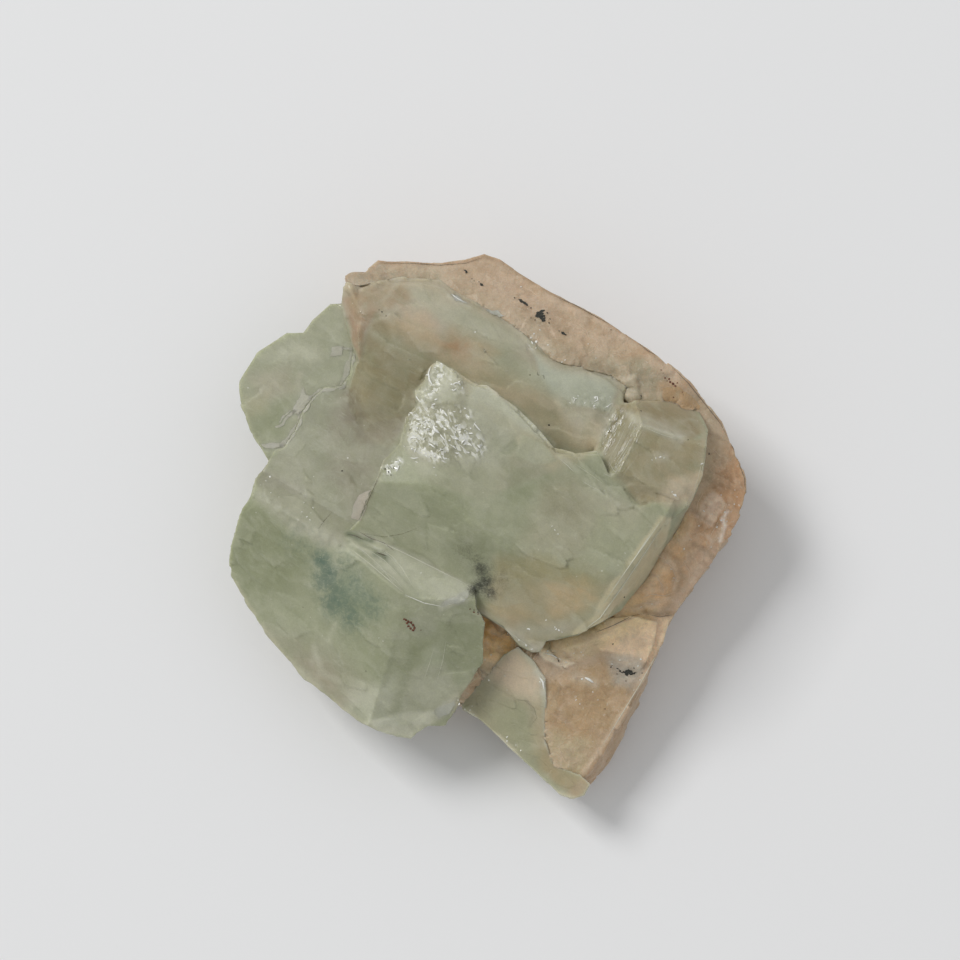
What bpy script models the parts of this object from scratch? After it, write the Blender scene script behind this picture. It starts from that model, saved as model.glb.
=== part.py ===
"""Fluorite specimen: pale green cleaved crystals, grown together on a peach matrix.

The specimen is a hand-sized cabinet piece that lies on the flat broken base of its
matrix.  Three solids make it:
  peach_matrix     the rock that carries the crystals, with its flat resting face
  green_crystals   six crystals grown into one another, one solid
  corner_crystal   the small crystal that wraps the front tip of the matrix

Everything is laid out in millimetres from a point near the middle of the base, +Z up,
and stored in metres.  Each crystal is a prism on a plan outline, cut by its own cleavage
faces, and each face is given by three corners that lie on it.
"""
import math
import random

import bmesh
import bpy
from mathutils import Vector, noise
from mathutils.geometry import delaunay_2d_cdt

# ---- driving dimensions, in millimetres ------------------------------------------------
MM = 0.001                 # metres in a millimetre
GAP = 0.3                  # clearance between a crystal and the seat it grew in
SKY = 45.0                 # height that uncut prisms reach, above every face
LIP = 0.4                  # upright edge left under a crystal's faces
LEDGE_RISE = 0.25          # height of the narrow cleavage ledges round a crystal's walls
LEDGE_DEPTH = 0.012        # depth of those ledges, as a share of the crystal's width
SHEET_ROOT = 2.0           # depth to which a cleavage sheet is rooted in its crystal

ROCK_GRID = 2.4            # spacing of the matrix's surface points
ROCK_ROUGH = 0.55          # height of the matrix's lumps
ROCK_LUMP = 5.5            # width of the matrix's lumps
ROCK_BELT = 4.2            # height at which the matrix is widest
ROCK_BELT_WANDER = 2.4     # how far that height swings up and down round the wall
WALL_LUMP = 9.0            # width of the hollows in the matrix's broken wall
WALL_DENT = 2.4            # depth of those hollows
WALL_SHAKE = 0.45          # small unevenness of the wall
SWELL = 0.85               # how far the wall stands out under the rim at the front right
SWELL_MIDDLE = (17.6, -33.0)
SWELL_REACH = 18.0
BASE_INSET = 0.05          # how far the resting face is drawn in, as a share of the width
MATRIX_WALL = [(0.0, 1.004), (0.45, 1.004), (0.8, 1.0)]   # rings: share of height, scale
ROCK_SEED = 11

# ---- corners that neighbouring faces share ---------------------------------------------
CUBE_RIDGE_END = (-21.1, -4.3, 22.5)      # left end of the lower left cube's ridge
CUBE_PEAK = (-12.3, -11.9, 24.0)          # highest corner of that cube
CUBE_FRONT_LOW = (-13.8, -31.1, 11.9)     # its lowest front corner
CUBE_RIGHT = (-3.1, -12.0, 22.5)          # corner where it meets the central block

BLOCK_TOP_LEFT = (-5.0, 1.0, 28.5)        # where the central block's left slope begins
BLOCK_TOP_FRONT = (6.3, -6.1, 26.3)       # where its front slope begins

STEP_PEAK = (22.4, 13.4, 25.6)            # highest corner of the right step
UPPER_RIDGE = (-7.3, 28.1, 24.0)          # middle of the upper crystal's roof

# ---- the crystals -----------------------------------------------------------------------
# outline: plan, counter-clockwise or not, only the corners that the crystal has
# faces:   three corners on each cleavage face that cuts its top
# foot:    height of its underside below the outline's middle
# lean:    rise of the underside for each millimetre along X and along Y
# taper:   how far the foot is drawn in, 1 is upright
UPPER_CRYSTAL = {
    "outline": [(-22.0, 32.8), (-21.6, 35.0), (-19.2, 35.0), (-13.3, 36.6), (-7.3, 36.4), (-5.1, 34.7),
                (1.6, 31.1), (6.1, 27.4), (9.9, 23.8), (13.5, 23.1), (18.3, 22.1), (20.6, 20.2),
                (18.0, 11.2), (9.5, 8.2), (-1.4, 4.2), (-10.4, 7.2), (-13.0, 11.9), (-15.6, 12.0),
                (-18.5, 14.7), (-19.6, 14.2), (-21.4, 19.2), (-20.5, 21.6), (-19.5, 23.9), (-20.7, 27.2)],
    "faces": [[(-16.2, 35.0, 23.8), UPPER_RIDGE, (16.5, 20.2, 21.8)],
              [(-18.3, 28.9, 25.8), (-8.7, 23.0, 25.6), (-17.4, 12.7, 19.0)],
              [(-7.3, 25.6, 24.6), (16.4, 16.5, 22.8), (1.6, 15.2, 20.3)],
              [(-20.6, 34.3, 24.8), (-19.6, 25.1, 22.5), (-21.8, 32.5, 21.2)]],
    "foot": 8.0, "lean": (0.0, 0.03), "taper": 0.92}

LEFT_LOBE = {
    "outline": [(-22.3, 34.5), (-24.2, 34.4), (-26.9, 31.9), (-28.2, 30.0), (-30.7, 30.0), (-35.1, 27.1),
                (-38.0, 22.5), (-37.7, 19.7), (-36.1, 14.9), (-33.2, 10.2), (-28.3, 7.3), (-17.8, 13.0),
                (-17.1, 28.6)],
    "faces": [[(-31.0, 11.0, 14.8), (-21.7, 21.5, 15.2), (-38.0, 22.5, 13.3)]],
    "foot": 7.0, "lean": (-0.14, 0.04), "taper": 0.86}

MIDDLE_PLATE = {
    "outline": [(-33.1, 9.7), (-32.3, 11.5), (-30.9, 11.8), (-29.0, 14.6), (-28.1, 17.4), (-26.6, 19.5),
                (-24.8, 21.0), (-22.1, 21.2), (-20.9, 23.1), (-20.4, 27.2), (-16.4, 26.7), (-10.3, 12.3),
                (-13.2, 6.2), (-15.3, -2.9), (-23.5, -5.7), (-32.7, 3.0), (-34.4, 6.6)],
    "faces": [[(-28.3, 11.4, 16.5), (-20.6, -0.3, 19.5), (-15.4, 7.1, 19.5)]],
    "foot": 7.6, "lean": (-0.05, 0.0), "taper": 0.9}

LOWER_CUBE = {
    "outline": [(-33.2, 9.9), (-36.0, 4.7), (-38.6, -2.6), (-39.0, -4.4), (-38.6, -7.3), (-35.6, -12.4),
                (-34.0, -14.3), (-33.6, -15.5), (-27.5, -22.4), (-25.2, -24.1), (-19.5, -28.9),
                (-16.5, -30.3), (-13.5, -31.1), (-11.6, -31.3), (-10.6, -30.4), (-9.1, -29.5),
                (-6.6, -29.4), (-5.5, -27.8), (-4.5, -26.4), (-4.5, -25.5), (-0.9, -20.5), (-0.9, -17.4),
                (-0.6, -15.0), (-1.9, -13.1), (-2.2, -9.8), (-8.7, -4.3), (-16.2, 0.5), (-23.7, 4.5),
                (-29.9, 8.7)],
    "faces": [[CUBE_RIDGE_END, CUBE_PEAK, (-34.1, -15.0, 11.0)],
              [CUBE_RIDGE_END, CUBE_PEAK, CUBE_RIGHT],
              [CUBE_PEAK, CUBE_RIGHT, CUBE_FRONT_LOW],
              [CUBE_RIDGE_END, (-35.5, 4.6, 18.7), (-23.3, 1.5, 18.8)]],
    "foot": 5.8, "lean": (-0.15, -0.07), "taper": 0.86}

CENTRAL_BLOCK = {
    "outline": [(-7.6, 22.5), (-5.0, 20.9), (-2.2, 19.0), (-0.3, 18.9), (4.5, 15.2), (7.4, 12.4),
                (9.3, 10.1), (12.5, 9.3), (15.9, 9.7), (17.9, 5.5), (22.1, 1.8), (29.5, 3.1), (28.8, 0.3),
                (26.1, -3.5), (23.2, -8.2), (19.5, -12.8), (16.4, -15.0), (13.4, -16.5), (8.4, -17.5),
                (7.5, -18.9), (6.5, -19.0), (4.5, -18.1), (2.3, -15.6), (-0.6, -13.9), (-3.6, -12.5),
                (-8.7, -9.4), (-16.1, -5.6), (-21.3, -2.0), (-19.0, 0.1), (-16.1, 6.1), (-15.5, 8.1),
                (-13.1, 10.4), (-12.5, 12.8), (-12.2, 14.3), (-10.1, 16.7), (-11.0, 18.1), (-10.1, 19.4),
                (-8.7, 20.5)],
    "faces": [[(-7.6, 21.9, 30.0), (29.5, 2.7, 23.0), BLOCK_TOP_LEFT],
              [BLOCK_TOP_LEFT, (-20.5, -0.5, 20.9), (-2.8, -9.8, 21.6)],
              [BLOCK_TOP_FRONT, (17.9, -9.6, 24.3), (8.2, -18.7, 17.0)],
              [(25.9, 0.4, 23.5), (17.9, -11.7, 22.7), (22.4, -8.9, 16.0)],
              [(-4.0, 20.5, 29.3), (-8.6, 2.8, 29.2), (-12.4, 12.4, 27.2)]],
    "foot": 8.8, "lean": (0.02, 0.0), "taper": 0.94}

RIGHT_STEP = {
    "outline": [(16.1, 11.0), (17.2, 13.6), (19.1, 17.5), (22.3, 17.8), (27.0, 18.1), (31.5, 16.8),
                (32.5, 13.7), (31.9, 10.2), (31.6, 7.2), (31.0, 5.0), (29.5, 2.0), (23.5, -1.8),
                (16.1, -0.7), (14.2, 7.5)],
    "faces": [[STEP_PEAK, (31.8, 7.3, 22.6), (19.1, 2.3, 25.2)],
              [STEP_PEAK, (17.9, 5.4, 25.4), (16.4, 11.1, 21.4)],
              [STEP_PEAK, (29.6, 11.6, 23.4), (25.4, 18.2, 20.4)],
              [(17.9, 5.5, 25.0), (29.5, 3.0, 23.0), (23.7, 0.1, 20.8)]],
    "foot": 9.6, "lean": (0.0, 0.0), "taper": 0.95}

CORNER_CRYSTAL = {
    "outline": [(4.3, -17.8), (6.4, -19.6), (8.4, -22.5), (8.6, -25.7), (8.4, -31.5), (9.6, -35.1),
                (13.6, -36.6), (15.1, -38.0), (14.2, -39.6), (12.4, -40.1), (10.6, -39.5), (4.6, -33.9),
                (-1.4, -28.3), (-4.1, -26.8), (-4.2, -26.0), (-0.3, -21.7), (2.2, -19.0)],
    "faces": [[(4.3, -17.6, 13.6), (8.3, -24.2, 12.4), (-4.0, -26.3, 9.8)]],
    "foot": 3.6, "lean": (-0.04, -0.05), "taper": 0.84}

# low sheets left by cleavage on the crystals' faces: (host, plan outline, rise above the face)
CLEAVAGE_SHEETS = {
    "frosted_knob": (CENTRAL_BLOCK, [(-8.7, 21.6), (-7.6, 22.4), (-5.0, 20.6), (-3.7, 18.6), (-5.1, 16.4),
                                     (-8.6, 15.4), (-10.6, 16.5), (-10.8, 17.9), (-9.9, 19.1)], 0.7),
    "frosted_patch": (CENTRAL_BLOCK, [(-12.2, 12.1), (-11.5, 15.0), (-8.6, 15.1), (-4.5, 16.1),
                                      (-1.6, 15.8), (-0.2, 12.9), (-1.4, 8.9), (-5.0, 7.9), (-8.6, 7.0),
                                      (-13.0, 8.4), (-13.2, 9.9)], 0.35),
    "roof_sheet": (UPPER_CRYSTAL, [(-14.0, 35.1), (-7.3, 35.7), (-2.1, 32.4), (4.6, 28.6), (8.3, 24.5),
                                   (18.3, 21.4), (16.4, 18.4), (10.5, 20.0), (4.6, 22.8), (-2.8, 25.8),
                                   (-8.8, 28.8), (-13.2, 29.7)], 0.3),
    "lower_sheet": (UPPER_CRYSTAL, [(-18.4, 25.9), (-13.2, 24.8), (-9.5, 22.3), (-11.5, 18.3),
                                    (-12.7, 14.2), (-15.6, 12.6), (-17.5, 14.9), (-19.5, 18.4)], 0.35),
}

# ---- the matrix -------------------------------------------------------------------------
MATRIX_OUTLINE = [(-20.0, 33.5), (-21.5, 36.4), (-20.4, 37.1), (-18.4, 37.2), (-16.6, 39.3), (-7.4, 39.4),
                  (-3.6, 40.0), (-0.7, 41.2), (1.7, 40.3), (4.7, 38.1), (9.5, 35.0), (16.7, 31.1),
                  (23.7, 26.0), (30.0, 21.2), (34.9, 15.6), (38.0, 8.5), (38.5, 5.5), (37.9, 3.2),
                  (36.3, -0.7), (31.6, -7.4), (26.9, -14.1), (25.8, -17.5), (22.5, -24.1), (19.6, -29.1),
                  (16.6, -34.1), (14.3, -37.0), (11.0, -36.3), (5.4, -30.4), (0.6, -25.6), (-5.0, -26.0),
                  (-12.0, -25.0), (-20.0, -21.0), (-27.5, -14.0), (-31.0, -6.0), (-31.0, 3.0), (-28.5, 12.0),
                  (-30.0, 19.0), (-27.5, 25.0), (-22.5, 29.0)]
MATRIX_ROOF = [[(-16.6, 39.3, 21.8), (23.7, 26.0, 20.2), (8.3, 26.0, 23.0)],
               [(30.0, 21.2, 19.3), (38.8, 5.5, 15.5), (29.8, 7.7, 20.0)],
               [(36.8, -0.7, 14.5), (27.3, -14.1, 13.2), (23.9, -5.3, 16.8)],
               [(27.3, -14.1, 13.2), (15.1, -37.3, 8.8), (8.3, -25.6, 11.8)]]
# a tilted plate of rock beside the corner crystal, proud along its upper edge only
MATRIX_PLATE = [(9.4, -17.6), (14.0, -16.6), (17.5, -14.9), (20.8, -13.4), (25.2, -14.2), (24.2, -18.4),
                (22.0, -22.8), (20.0, -26.0), (14.4, -24.4), (11.2, -20.6)]
MATRIX_PLATE_FACE = [(10.0, -17.8, 14.2), (25.4, -14.2, 14.5), (19.0, -25.4, 10.9)]
# the deep three-sided hollow between the cube, the block and the corner crystal
MATRIX_HOLLOW = [(-1.5, -13.0), (4.8, -18.6), (-1.2, -24.4)]
MATRIX_HOLLOW_FLOOR = 12.0

# ---- finishes: base colour, roughness, metallic, transmission --------------------------
FINISHES = {
    "peach_matrix": ((0.62, 0.44, 0.31), 0.62, 0.0, 0.0),
    "green_crystals": ((0.56, 0.63, 0.50), 0.28, 0.0, 0.3),
    "corner_crystal": ((0.60, 0.63, 0.50), 0.30, 0.0, 0.3),
}


def clear_scene():
    """Empty the scene that Blender opens with."""
    for item in list(bpy.data.objects):
        bpy.data.objects.remove(item, do_unlink=True)


# ---- plan outlines ----------------------------------------------------------------------
def signed_area(outline):
    """Twice the outline's area, positive where it runs counter-clockwise."""
    pairs = zip(outline, outline[1:] + outline[:1])
    return sum(a[0] * b[1] - b[0] * a[1] for a, b in pairs)


def counter_clockwise(outline):
    """The outline's corners as vectors, running counter-clockwise."""
    corners = [Vector(corner) for corner in outline]
    return corners if signed_area(outline) > 0 else corners[::-1]


def middle_of(corners):
    """The mean of an outline's corners."""
    return sum(corners, Vector((0.0, 0.0))) / len(corners)


def drawn_in(corners, scale):
    """The outline drawn in evenly towards its middle."""
    middle = middle_of(corners)
    return [middle + (corner - middle) * scale for corner in corners]


def grown(corners, distance):
    """A counter-clockwise outline moved outwards by a distance, with mitred corners."""
    moved = []
    for index, corner in enumerate(corners):
        before = (corner - corners[index - 1]).normalized()
        after = (corners[(index + 1) % len(corners)] - corner).normalized()
        out_before = Vector((before.y, -before.x))
        out_after = Vector((after.y, -after.x))
        mitre = out_before + out_after
        reach = max(mitre.dot(out_after), 0.5)
        moved.append(corner + mitre * (distance / reach))
    return moved


def is_inside(point, corners):
    """Whether a plan point lies inside an outline."""
    inside = False
    for start, end in zip(corners, corners[1:] + corners[:1]):
        if (start.y > point.y) != (end.y > point.y):
            crossing = start.x + (point.y - start.y) / (end.y - start.y) * (end.x - start.x)
            inside ^= point.x < crossing
    return inside


def edge_distance(point, corners):
    """Distance from a plan point to the nearest side of an outline."""
    nearest = math.inf
    for start, end in zip(corners, corners[1:] + corners[:1]):
        side = end - start
        along = max(0.0, min(1.0, (point - start).dot(side) / side.length_squared))
        nearest = min(nearest, (point - start - side * along).length)
    return nearest


# ---- cleavage faces ---------------------------------------------------------------------
def face_plane(corners):
    """A point on a face and the face's upward unit normal."""
    first, second, third = (Vector(corner) for corner in corners)
    normal = (second - first).cross(third - first).normalized()
    return first, normal if normal.z > 0 else -normal


def raised_planes(faces, rise):
    """The planes of some faces, lifted by a height."""
    return [(origin + Vector((0.0, 0.0, rise)), normal) for origin, normal in map(face_plane, faces)]


def height_under(planes, point):
    """Height of the lowest face above a plan point."""
    heights = []
    for origin, normal in planes:
        offset = Vector((point.x - origin.x, point.y - origin.y))
        heights.append(origin.z - (normal.x * offset.x + normal.y * offset.y) / normal.z)
    return min(heights)


# ---- solids -----------------------------------------------------------------------------
def stack_rings(bm, rings):
    """Close a stack of rings of equal count, lowest first, into one solid."""
    levels = [[bm.verts.new(point) for point in ring] for ring in rings]
    count = len(levels[0])
    for lower, upper in zip(levels, levels[1:]):
        for index in range(count):
            following = (index + 1) % count
            bm.faces.new((lower[index], lower[following], upper[following]))
            bm.faces.new((lower[index], upper[following], upper[index]))
    bm.faces.new(levels[0][::-1])
    return levels


def cut_by_plane(bm, origin, normal):
    """Take away what lies above a plane, and close the cut."""
    geometry = bm.verts[:] + bm.edges[:] + bm.faces[:]
    bmesh.ops.bisect_plane(bm, geom=geometry, dist=1e-5, plane_co=origin, plane_no=normal, clear_outer=True)
    open_edges = [edge for edge in bm.edges if edge.is_boundary]
    bmesh.ops.holes_fill(bm, edges=open_edges, sides=0)


def crystal_mesh(name, crystal, grow=0.0, cut=True):
    """A crystal's mesh, or with grow and no cut the shape of the seat that holds it."""
    corners = counter_clockwise(crystal["outline"])
    planes = [face_plane(corners_of_face) for corners_of_face in crystal["faces"]]
    lean = Vector(crystal["lean"])
    taper = crystal["taper"]
    half_taper = (1 + taper) / 2
    crown = [height_under(planes, corner) - LIP for corner in corners]
    foot = [crystal["foot"] + lean.dot(corner - middle_of(corners)) for corner in corners]
    waist = [(low + high) / 2 for low, high in zip(foot, crown)]

    def ring(scale, heights, lift=0.0):
        plan = grown(drawn_in(corners, scale), grow)
        return [(point.x, point.y, height + lift) for point, height in zip(plan, heights)]

    rings = [ring(taper, foot, -grow),
             ring(half_taper - LEDGE_DEPTH, waist),
             ring(half_taper + LEDGE_DEPTH, waist, LEDGE_RISE),
             ring(1.0, crown),
             ring(1.0, [SKY] * len(corners))]
    bm = bmesh.new()
    levels = stack_rings(bm, rings)
    bm.faces.new(levels[-1])
    if cut:
        for origin, normal in planes:
            cut_by_plane(bm, origin, normal)
    return finished_mesh(bm, name)


def block_mesh(name, outline, bottom, top_planes):
    """An upright block on an outline, from a height up to its own roof planes or to the sky."""
    corners = counter_clockwise(outline)
    bm = bmesh.new()
    rings = [[(corner.x, corner.y, height) for corner in corners] for height in (bottom, SKY)]
    levels = stack_rings(bm, rings)
    bm.faces.new(levels[-1])
    for origin, normal in top_planes:
        cut_by_plane(bm, origin, normal)
    return finished_mesh(bm, name)


def rock_height(planes, point):
    """Height of the matrix's lumpy roof above a plan point."""
    place = Vector((point.x / ROCK_LUMP, point.y / ROCK_LUMP, 0.0))
    lumps = noise.noise(place) + 0.5 * noise.noise(place * 2.3 + Vector((7.0, 3.0, 1.0)))
    return height_under(planes, point) + ROCK_ROUGH * lumps


def wall_wander(point, height):
    """How far the matrix's wall swings in (above zero) or out at a place."""
    return noise.noise(Vector((point.x, point.y, height)) / WALL_LUMP)


def border_points(outline, spacing):
    """An outline's corners, with points added along its sides at about a spacing."""
    corners = counter_clockwise(outline)
    points = []
    for start, end in zip(corners, corners[1:] + corners[:1]):
        steps = max(1, round((end - start).length / spacing))
        points += [start.lerp(end, step / steps) for step in range(steps)]
    return points


def scattered_points(border, spacing, source):
    """Points of a shaken grid inside a border, clear of its sides."""
    lowest = Vector((min(p.x for p in border), min(p.y for p in border)))
    highest = Vector((max(p.x for p in border), max(p.y for p in border)))
    columns = int((highest.x - lowest.x) / spacing)
    rows = int((highest.y - lowest.y) / spacing)
    points = []
    for column in range(1, columns + 1):
        for row in range(1, rows + 1):
            shake = Vector((source.uniform(-0.35, 0.35), source.uniform(-0.35, 0.35)))
            point = lowest + (Vector((column, row)) + shake) * spacing
            if is_inside(point, border) and edge_distance(point, border) > spacing * 0.45:
                points.append(point)
    return points


def wall_ring(border, crowns, share, scale, source):
    """One ring of the matrix's broken wall, share of the way from its belt to its crown."""
    middle = middle_of(border)
    ring = []
    for point, crown in zip(border, crowns):
        belt = ROCK_BELT + ROCK_BELT_WANDER * wall_wander(point, 0.0)
        height = belt + (crown - belt) * share
        dent = WALL_DENT * max(0.0, wall_wander(point, height)) + source.uniform(0.0, WALL_SHAKE)
        outward = (point - middle).normalized()
        swell = max(0.0, 1.0 - (point - Vector(SWELL_MIDDLE)).length / SWELL_REACH)
        out = 2.0 * SWELL * swell * (1.0 - share) - dent * (1.0 - swell)
        place = middle + (point - middle) * scale + outward * out
        ring.append((place.x, place.y, height))
    return ring


def matrix_mesh(name):
    """The matrix before its seats are cut: a lumpy roof, broken walls and a flat base."""
    source = random.Random(ROCK_SEED)
    border = border_points(MATRIX_OUTLINE, ROCK_GRID)
    count = len(border)
    sides = [(index, (index + 1) % count) for index in range(count)]
    inner = scattered_points(border, ROCK_GRID, source)
    flat, _, triangles, *_ = delaunay_2d_cdt(border + inner, sides, [], 1, 1e-4)

    planes = [face_plane(face) for face in MATRIX_ROOF]
    crowns = [rock_height(planes, point) for point in border]
    base_scale = 1.0 - BASE_INSET
    foot = [(point.x, point.y, 0.0) for point in drawn_in(border, base_scale)]
    rings = [foot]
    for share, scale in MATRIX_WALL:
        rings.append(wall_ring(border, crowns, share, scale, source))
    rings.append([(point.x, point.y, crown) for point, crown in zip(border, crowns)])

    bm = bmesh.new()
    rim = stack_rings(bm, rings)[-1]
    roof = rim + [bm.verts.new((point.x, point.y, rock_height(planes, point))) for point in flat[count:]]
    for triangle in triangles:
        bm.faces.new([roof[index] for index in triangle])
    return finished_mesh(bm, name)


def finished_mesh(bm, name):
    """Turn a millimetre bmesh into a mesh in metres, with its faces pointing out."""
    bmesh.ops.scale(bm, vec=(MM, MM, MM), verts=bm.verts[:])
    bmesh.ops.recalc_face_normals(bm, faces=bm.faces[:])
    mesh = bpy.data.meshes.new(name)
    bm.to_mesh(mesh)
    bm.free()
    return mesh


# ---- objects ----------------------------------------------------------------------------
def place(name, mesh, stand):
    """Put a mesh in the scene under the specimen's stand-point."""
    item = bpy.data.objects.new(name, mesh)
    bpy.context.scene.collection.objects.link(item)
    item.parent = stand
    return item


def helper(name, mesh, stand):
    """A shape that only joins or cuts another, left out of the model itself."""
    item = place(name, mesh, stand)
    item.hide_render = True
    item.display_type = "WIRE"
    return item


def combine(item, other, operation):
    """Join another shape to an item, or cut it away."""
    modifier = item.modifiers.new(other.name, "BOOLEAN")
    modifier.operation = operation
    modifier.solver = "EXACT"
    modifier.object = other


def finish(item, name):
    """Give an item its own material."""
    colour, roughness, metallic, transmission = FINISHES[name]
    material = bpy.data.materials.new(name)
    material.use_nodes = True
    shader = material.node_tree.nodes["Principled BSDF"]
    shader.inputs["Base Color"].default_value = (*colour, 1.0)
    shader.inputs["Roughness"].default_value = roughness
    shader.inputs["Metallic"].default_value = metallic
    shader.inputs["Transmission Weight"].default_value = transmission
    item.data.materials.append(material)


def make_green_crystals(stand):
    """Six crystals grown into one another."""
    item = place("green_crystals", crystal_mesh("green_crystals", CENTRAL_BLOCK), stand)
    others = {"upper_crystal": UPPER_CRYSTAL, "left_lobe": LEFT_LOBE, "middle_plate": MIDDLE_PLATE,
              "lower_cube": LOWER_CUBE, "right_step": RIGHT_STEP}
    for name, crystal in others.items():
        combine(item, helper(name, crystal_mesh(name, crystal), stand), "UNION")
    for name, (host, outline, rise) in CLEAVAGE_SHEETS.items():
        planes = raised_planes(host["faces"], rise)
        root = min(height_under(planes, Vector(corner)) for corner in outline) - SHEET_ROOT
        sheet = block_mesh(name, outline, root, planes)
        combine(item, helper(name, sheet, stand), "UNION")
    finish(item, "green_crystals")
    return item


def make_corner_crystal(stand):
    """The crystal that wraps the front tip."""
    item = place("corner_crystal", crystal_mesh("corner_crystal", CORNER_CRYSTAL), stand)
    finish(item, "corner_crystal")
    return item


def make_peach_matrix(stand):
    """The matrix, with its plate, its hollow and a seat for every crystal."""
    item = place("peach_matrix", matrix_mesh("peach_matrix"), stand)
    face = [face_plane(MATRIX_PLATE_FACE)]
    root = min(height_under(face, Vector(corner)) for corner in MATRIX_PLATE) - SHEET_ROOT
    plate = block_mesh("matrix_plate", MATRIX_PLATE, root, face)
    combine(item, helper("matrix_plate", plate, stand), "UNION")
    hollow = block_mesh("matrix_hollow", MATRIX_HOLLOW, MATRIX_HOLLOW_FLOOR, [])
    combine(item, helper("matrix_hollow", hollow, stand), "DIFFERENCE")
    seated = {"central_block": CENTRAL_BLOCK, "upper_crystal": UPPER_CRYSTAL, "left_lobe": LEFT_LOBE,
              "middle_plate": MIDDLE_PLATE, "lower_cube": LOWER_CUBE, "right_step": RIGHT_STEP,
              "corner_crystal": CORNER_CRYSTAL}
    for name, crystal in seated.items():
        seat = helper("seat_of_" + name, crystal_mesh("seat", crystal, GAP, cut=False), stand)
        combine(item, seat, "DIFFERENCE")
    finish(item, "peach_matrix")
    return item


def stand_on_origin(stand, items):
    """Bring the middle of the specimen's base onto the origin."""
    bpy.context.view_layer.update()
    graph = bpy.context.evaluated_depsgraph_get()
    points = []
    for item in items:
        evaluated = item.evaluated_get(graph)
        points += [item.matrix_world @ vertex.co for vertex in evaluated.data.vertices]
    for axis in (0, 1):
        values = [point[axis] for point in points]
        stand.location[axis] = -(min(values) + max(values)) / 2
    stand.location[2] = -min(point[2] for point in points)


def main():
    clear_scene()
    stand = bpy.data.objects.new("specimen", None)
    bpy.context.scene.collection.objects.link(stand)
    items = [make_peach_matrix(stand), make_green_crystals(stand), make_corner_crystal(stand)]
    stand_on_origin(stand, items)


main()
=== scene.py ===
"""Fluorite specimen, dressed: cloudy green cleaved crystals on a peach matrix, on a pale floor.

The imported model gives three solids.  Each is copied finely, broken and cleaved in relief, and
painted with the tones of its own mineral.  Marks are placed by the pixels of the camera's view
and dropped along its rays onto the solids, so that they sit on what carries them from any side.
Lengths are in millimetres until a mesh is written, in metres, in the frame's own axes.
"""
import math
from collections import namedtuple

import bmesh
import bpy
import numpy as np
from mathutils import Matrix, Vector
from mathutils.bvhtree import BVHTree
from mathutils.geometry import delaunay_2d_cdt


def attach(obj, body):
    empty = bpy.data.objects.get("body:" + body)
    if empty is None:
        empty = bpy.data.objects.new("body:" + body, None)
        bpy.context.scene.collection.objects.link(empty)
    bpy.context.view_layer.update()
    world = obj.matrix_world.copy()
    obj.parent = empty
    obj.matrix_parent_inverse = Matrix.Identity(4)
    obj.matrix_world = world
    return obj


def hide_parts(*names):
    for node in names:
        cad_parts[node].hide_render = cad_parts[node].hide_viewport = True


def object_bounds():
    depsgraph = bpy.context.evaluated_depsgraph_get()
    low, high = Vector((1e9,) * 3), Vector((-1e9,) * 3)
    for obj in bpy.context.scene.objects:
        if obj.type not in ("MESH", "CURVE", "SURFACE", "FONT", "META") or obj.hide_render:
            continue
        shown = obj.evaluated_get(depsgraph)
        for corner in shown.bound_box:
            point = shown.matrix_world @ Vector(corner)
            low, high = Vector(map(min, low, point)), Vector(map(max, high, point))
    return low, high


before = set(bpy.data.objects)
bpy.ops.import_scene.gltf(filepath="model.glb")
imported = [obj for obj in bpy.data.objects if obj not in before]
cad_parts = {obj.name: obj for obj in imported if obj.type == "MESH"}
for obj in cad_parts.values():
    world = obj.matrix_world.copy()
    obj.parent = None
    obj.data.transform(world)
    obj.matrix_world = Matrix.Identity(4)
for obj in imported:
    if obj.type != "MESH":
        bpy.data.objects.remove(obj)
CAD_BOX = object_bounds()
CRYSTALS = ("green_crystals", "corner_crystal")   # the nodes that the rock holds

MM = 0.001                      # metres in a millimetre

# ---- the camera: a view 960 pixels square, looking down on the front edge ----
VIEW_PIXELS = 960
VIEW_FROM_VERTICAL = math.radians(10.0)
VIEW_DISTANCE = 400.0
VIEW_LENS = 100.0
VIEW_SENSOR = 36.0
VIEW_AIM = (-1.10, 6.54, 15.0)  # the point in the middle of the view
CAMERA_CLIP = 0.01              # nearest distance that the camera shows, in metres

# ---- light ----
KEY_FROM = (-0.62, 0.46, 0.78)  # direction of the window
KEY_DISTANCE = 3000.0
KEY_SIZE = 1100.0
KEY_POWER = 50.0
SKY_COLOUR = (0.95, 0.96, 0.97)
SKY_POWER = 0.56
FLOOR_COLOUR = (0.80, 0.80, 0.80)
FLOOR_HALF = 2.5                # half the floor's width, in metres
FLOOR_TOP = -0.00002            # its height: just under the specimen, in metres

# ---- directions in the crystals ----
CLEAVAGE_TURN = math.radians(-34.0)   # the cleavage runs down to the right, this far off X
CLEAVAGE_DRAW = (0.4, 1.0, 0.8)       # how chips lengthen: less is longer, with, across and up
FROST_TURN = math.radians(-58.0)      # the facets of the frosted face run down to the right
RIB_TURN = math.radians(60.0)         # the ribs of the right step run down to the left
RIB_ALONG = np.array([0.5, 0.866, 0.0])
RIB_ACROSS = np.array([0.866, -0.5, 0.0])
FULL_TURN = 6.28

# ---- where the rock meets the crystals ----
SEAM_NEAR = 0.5                 # rock this close to a crystal is drawn right up to it
SEAM_FAR = 1.3                  # rock this far away stays where it is
SEAM_DEPTH = 0.25               # how far drawn-up rock reaches into the crystal

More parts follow.
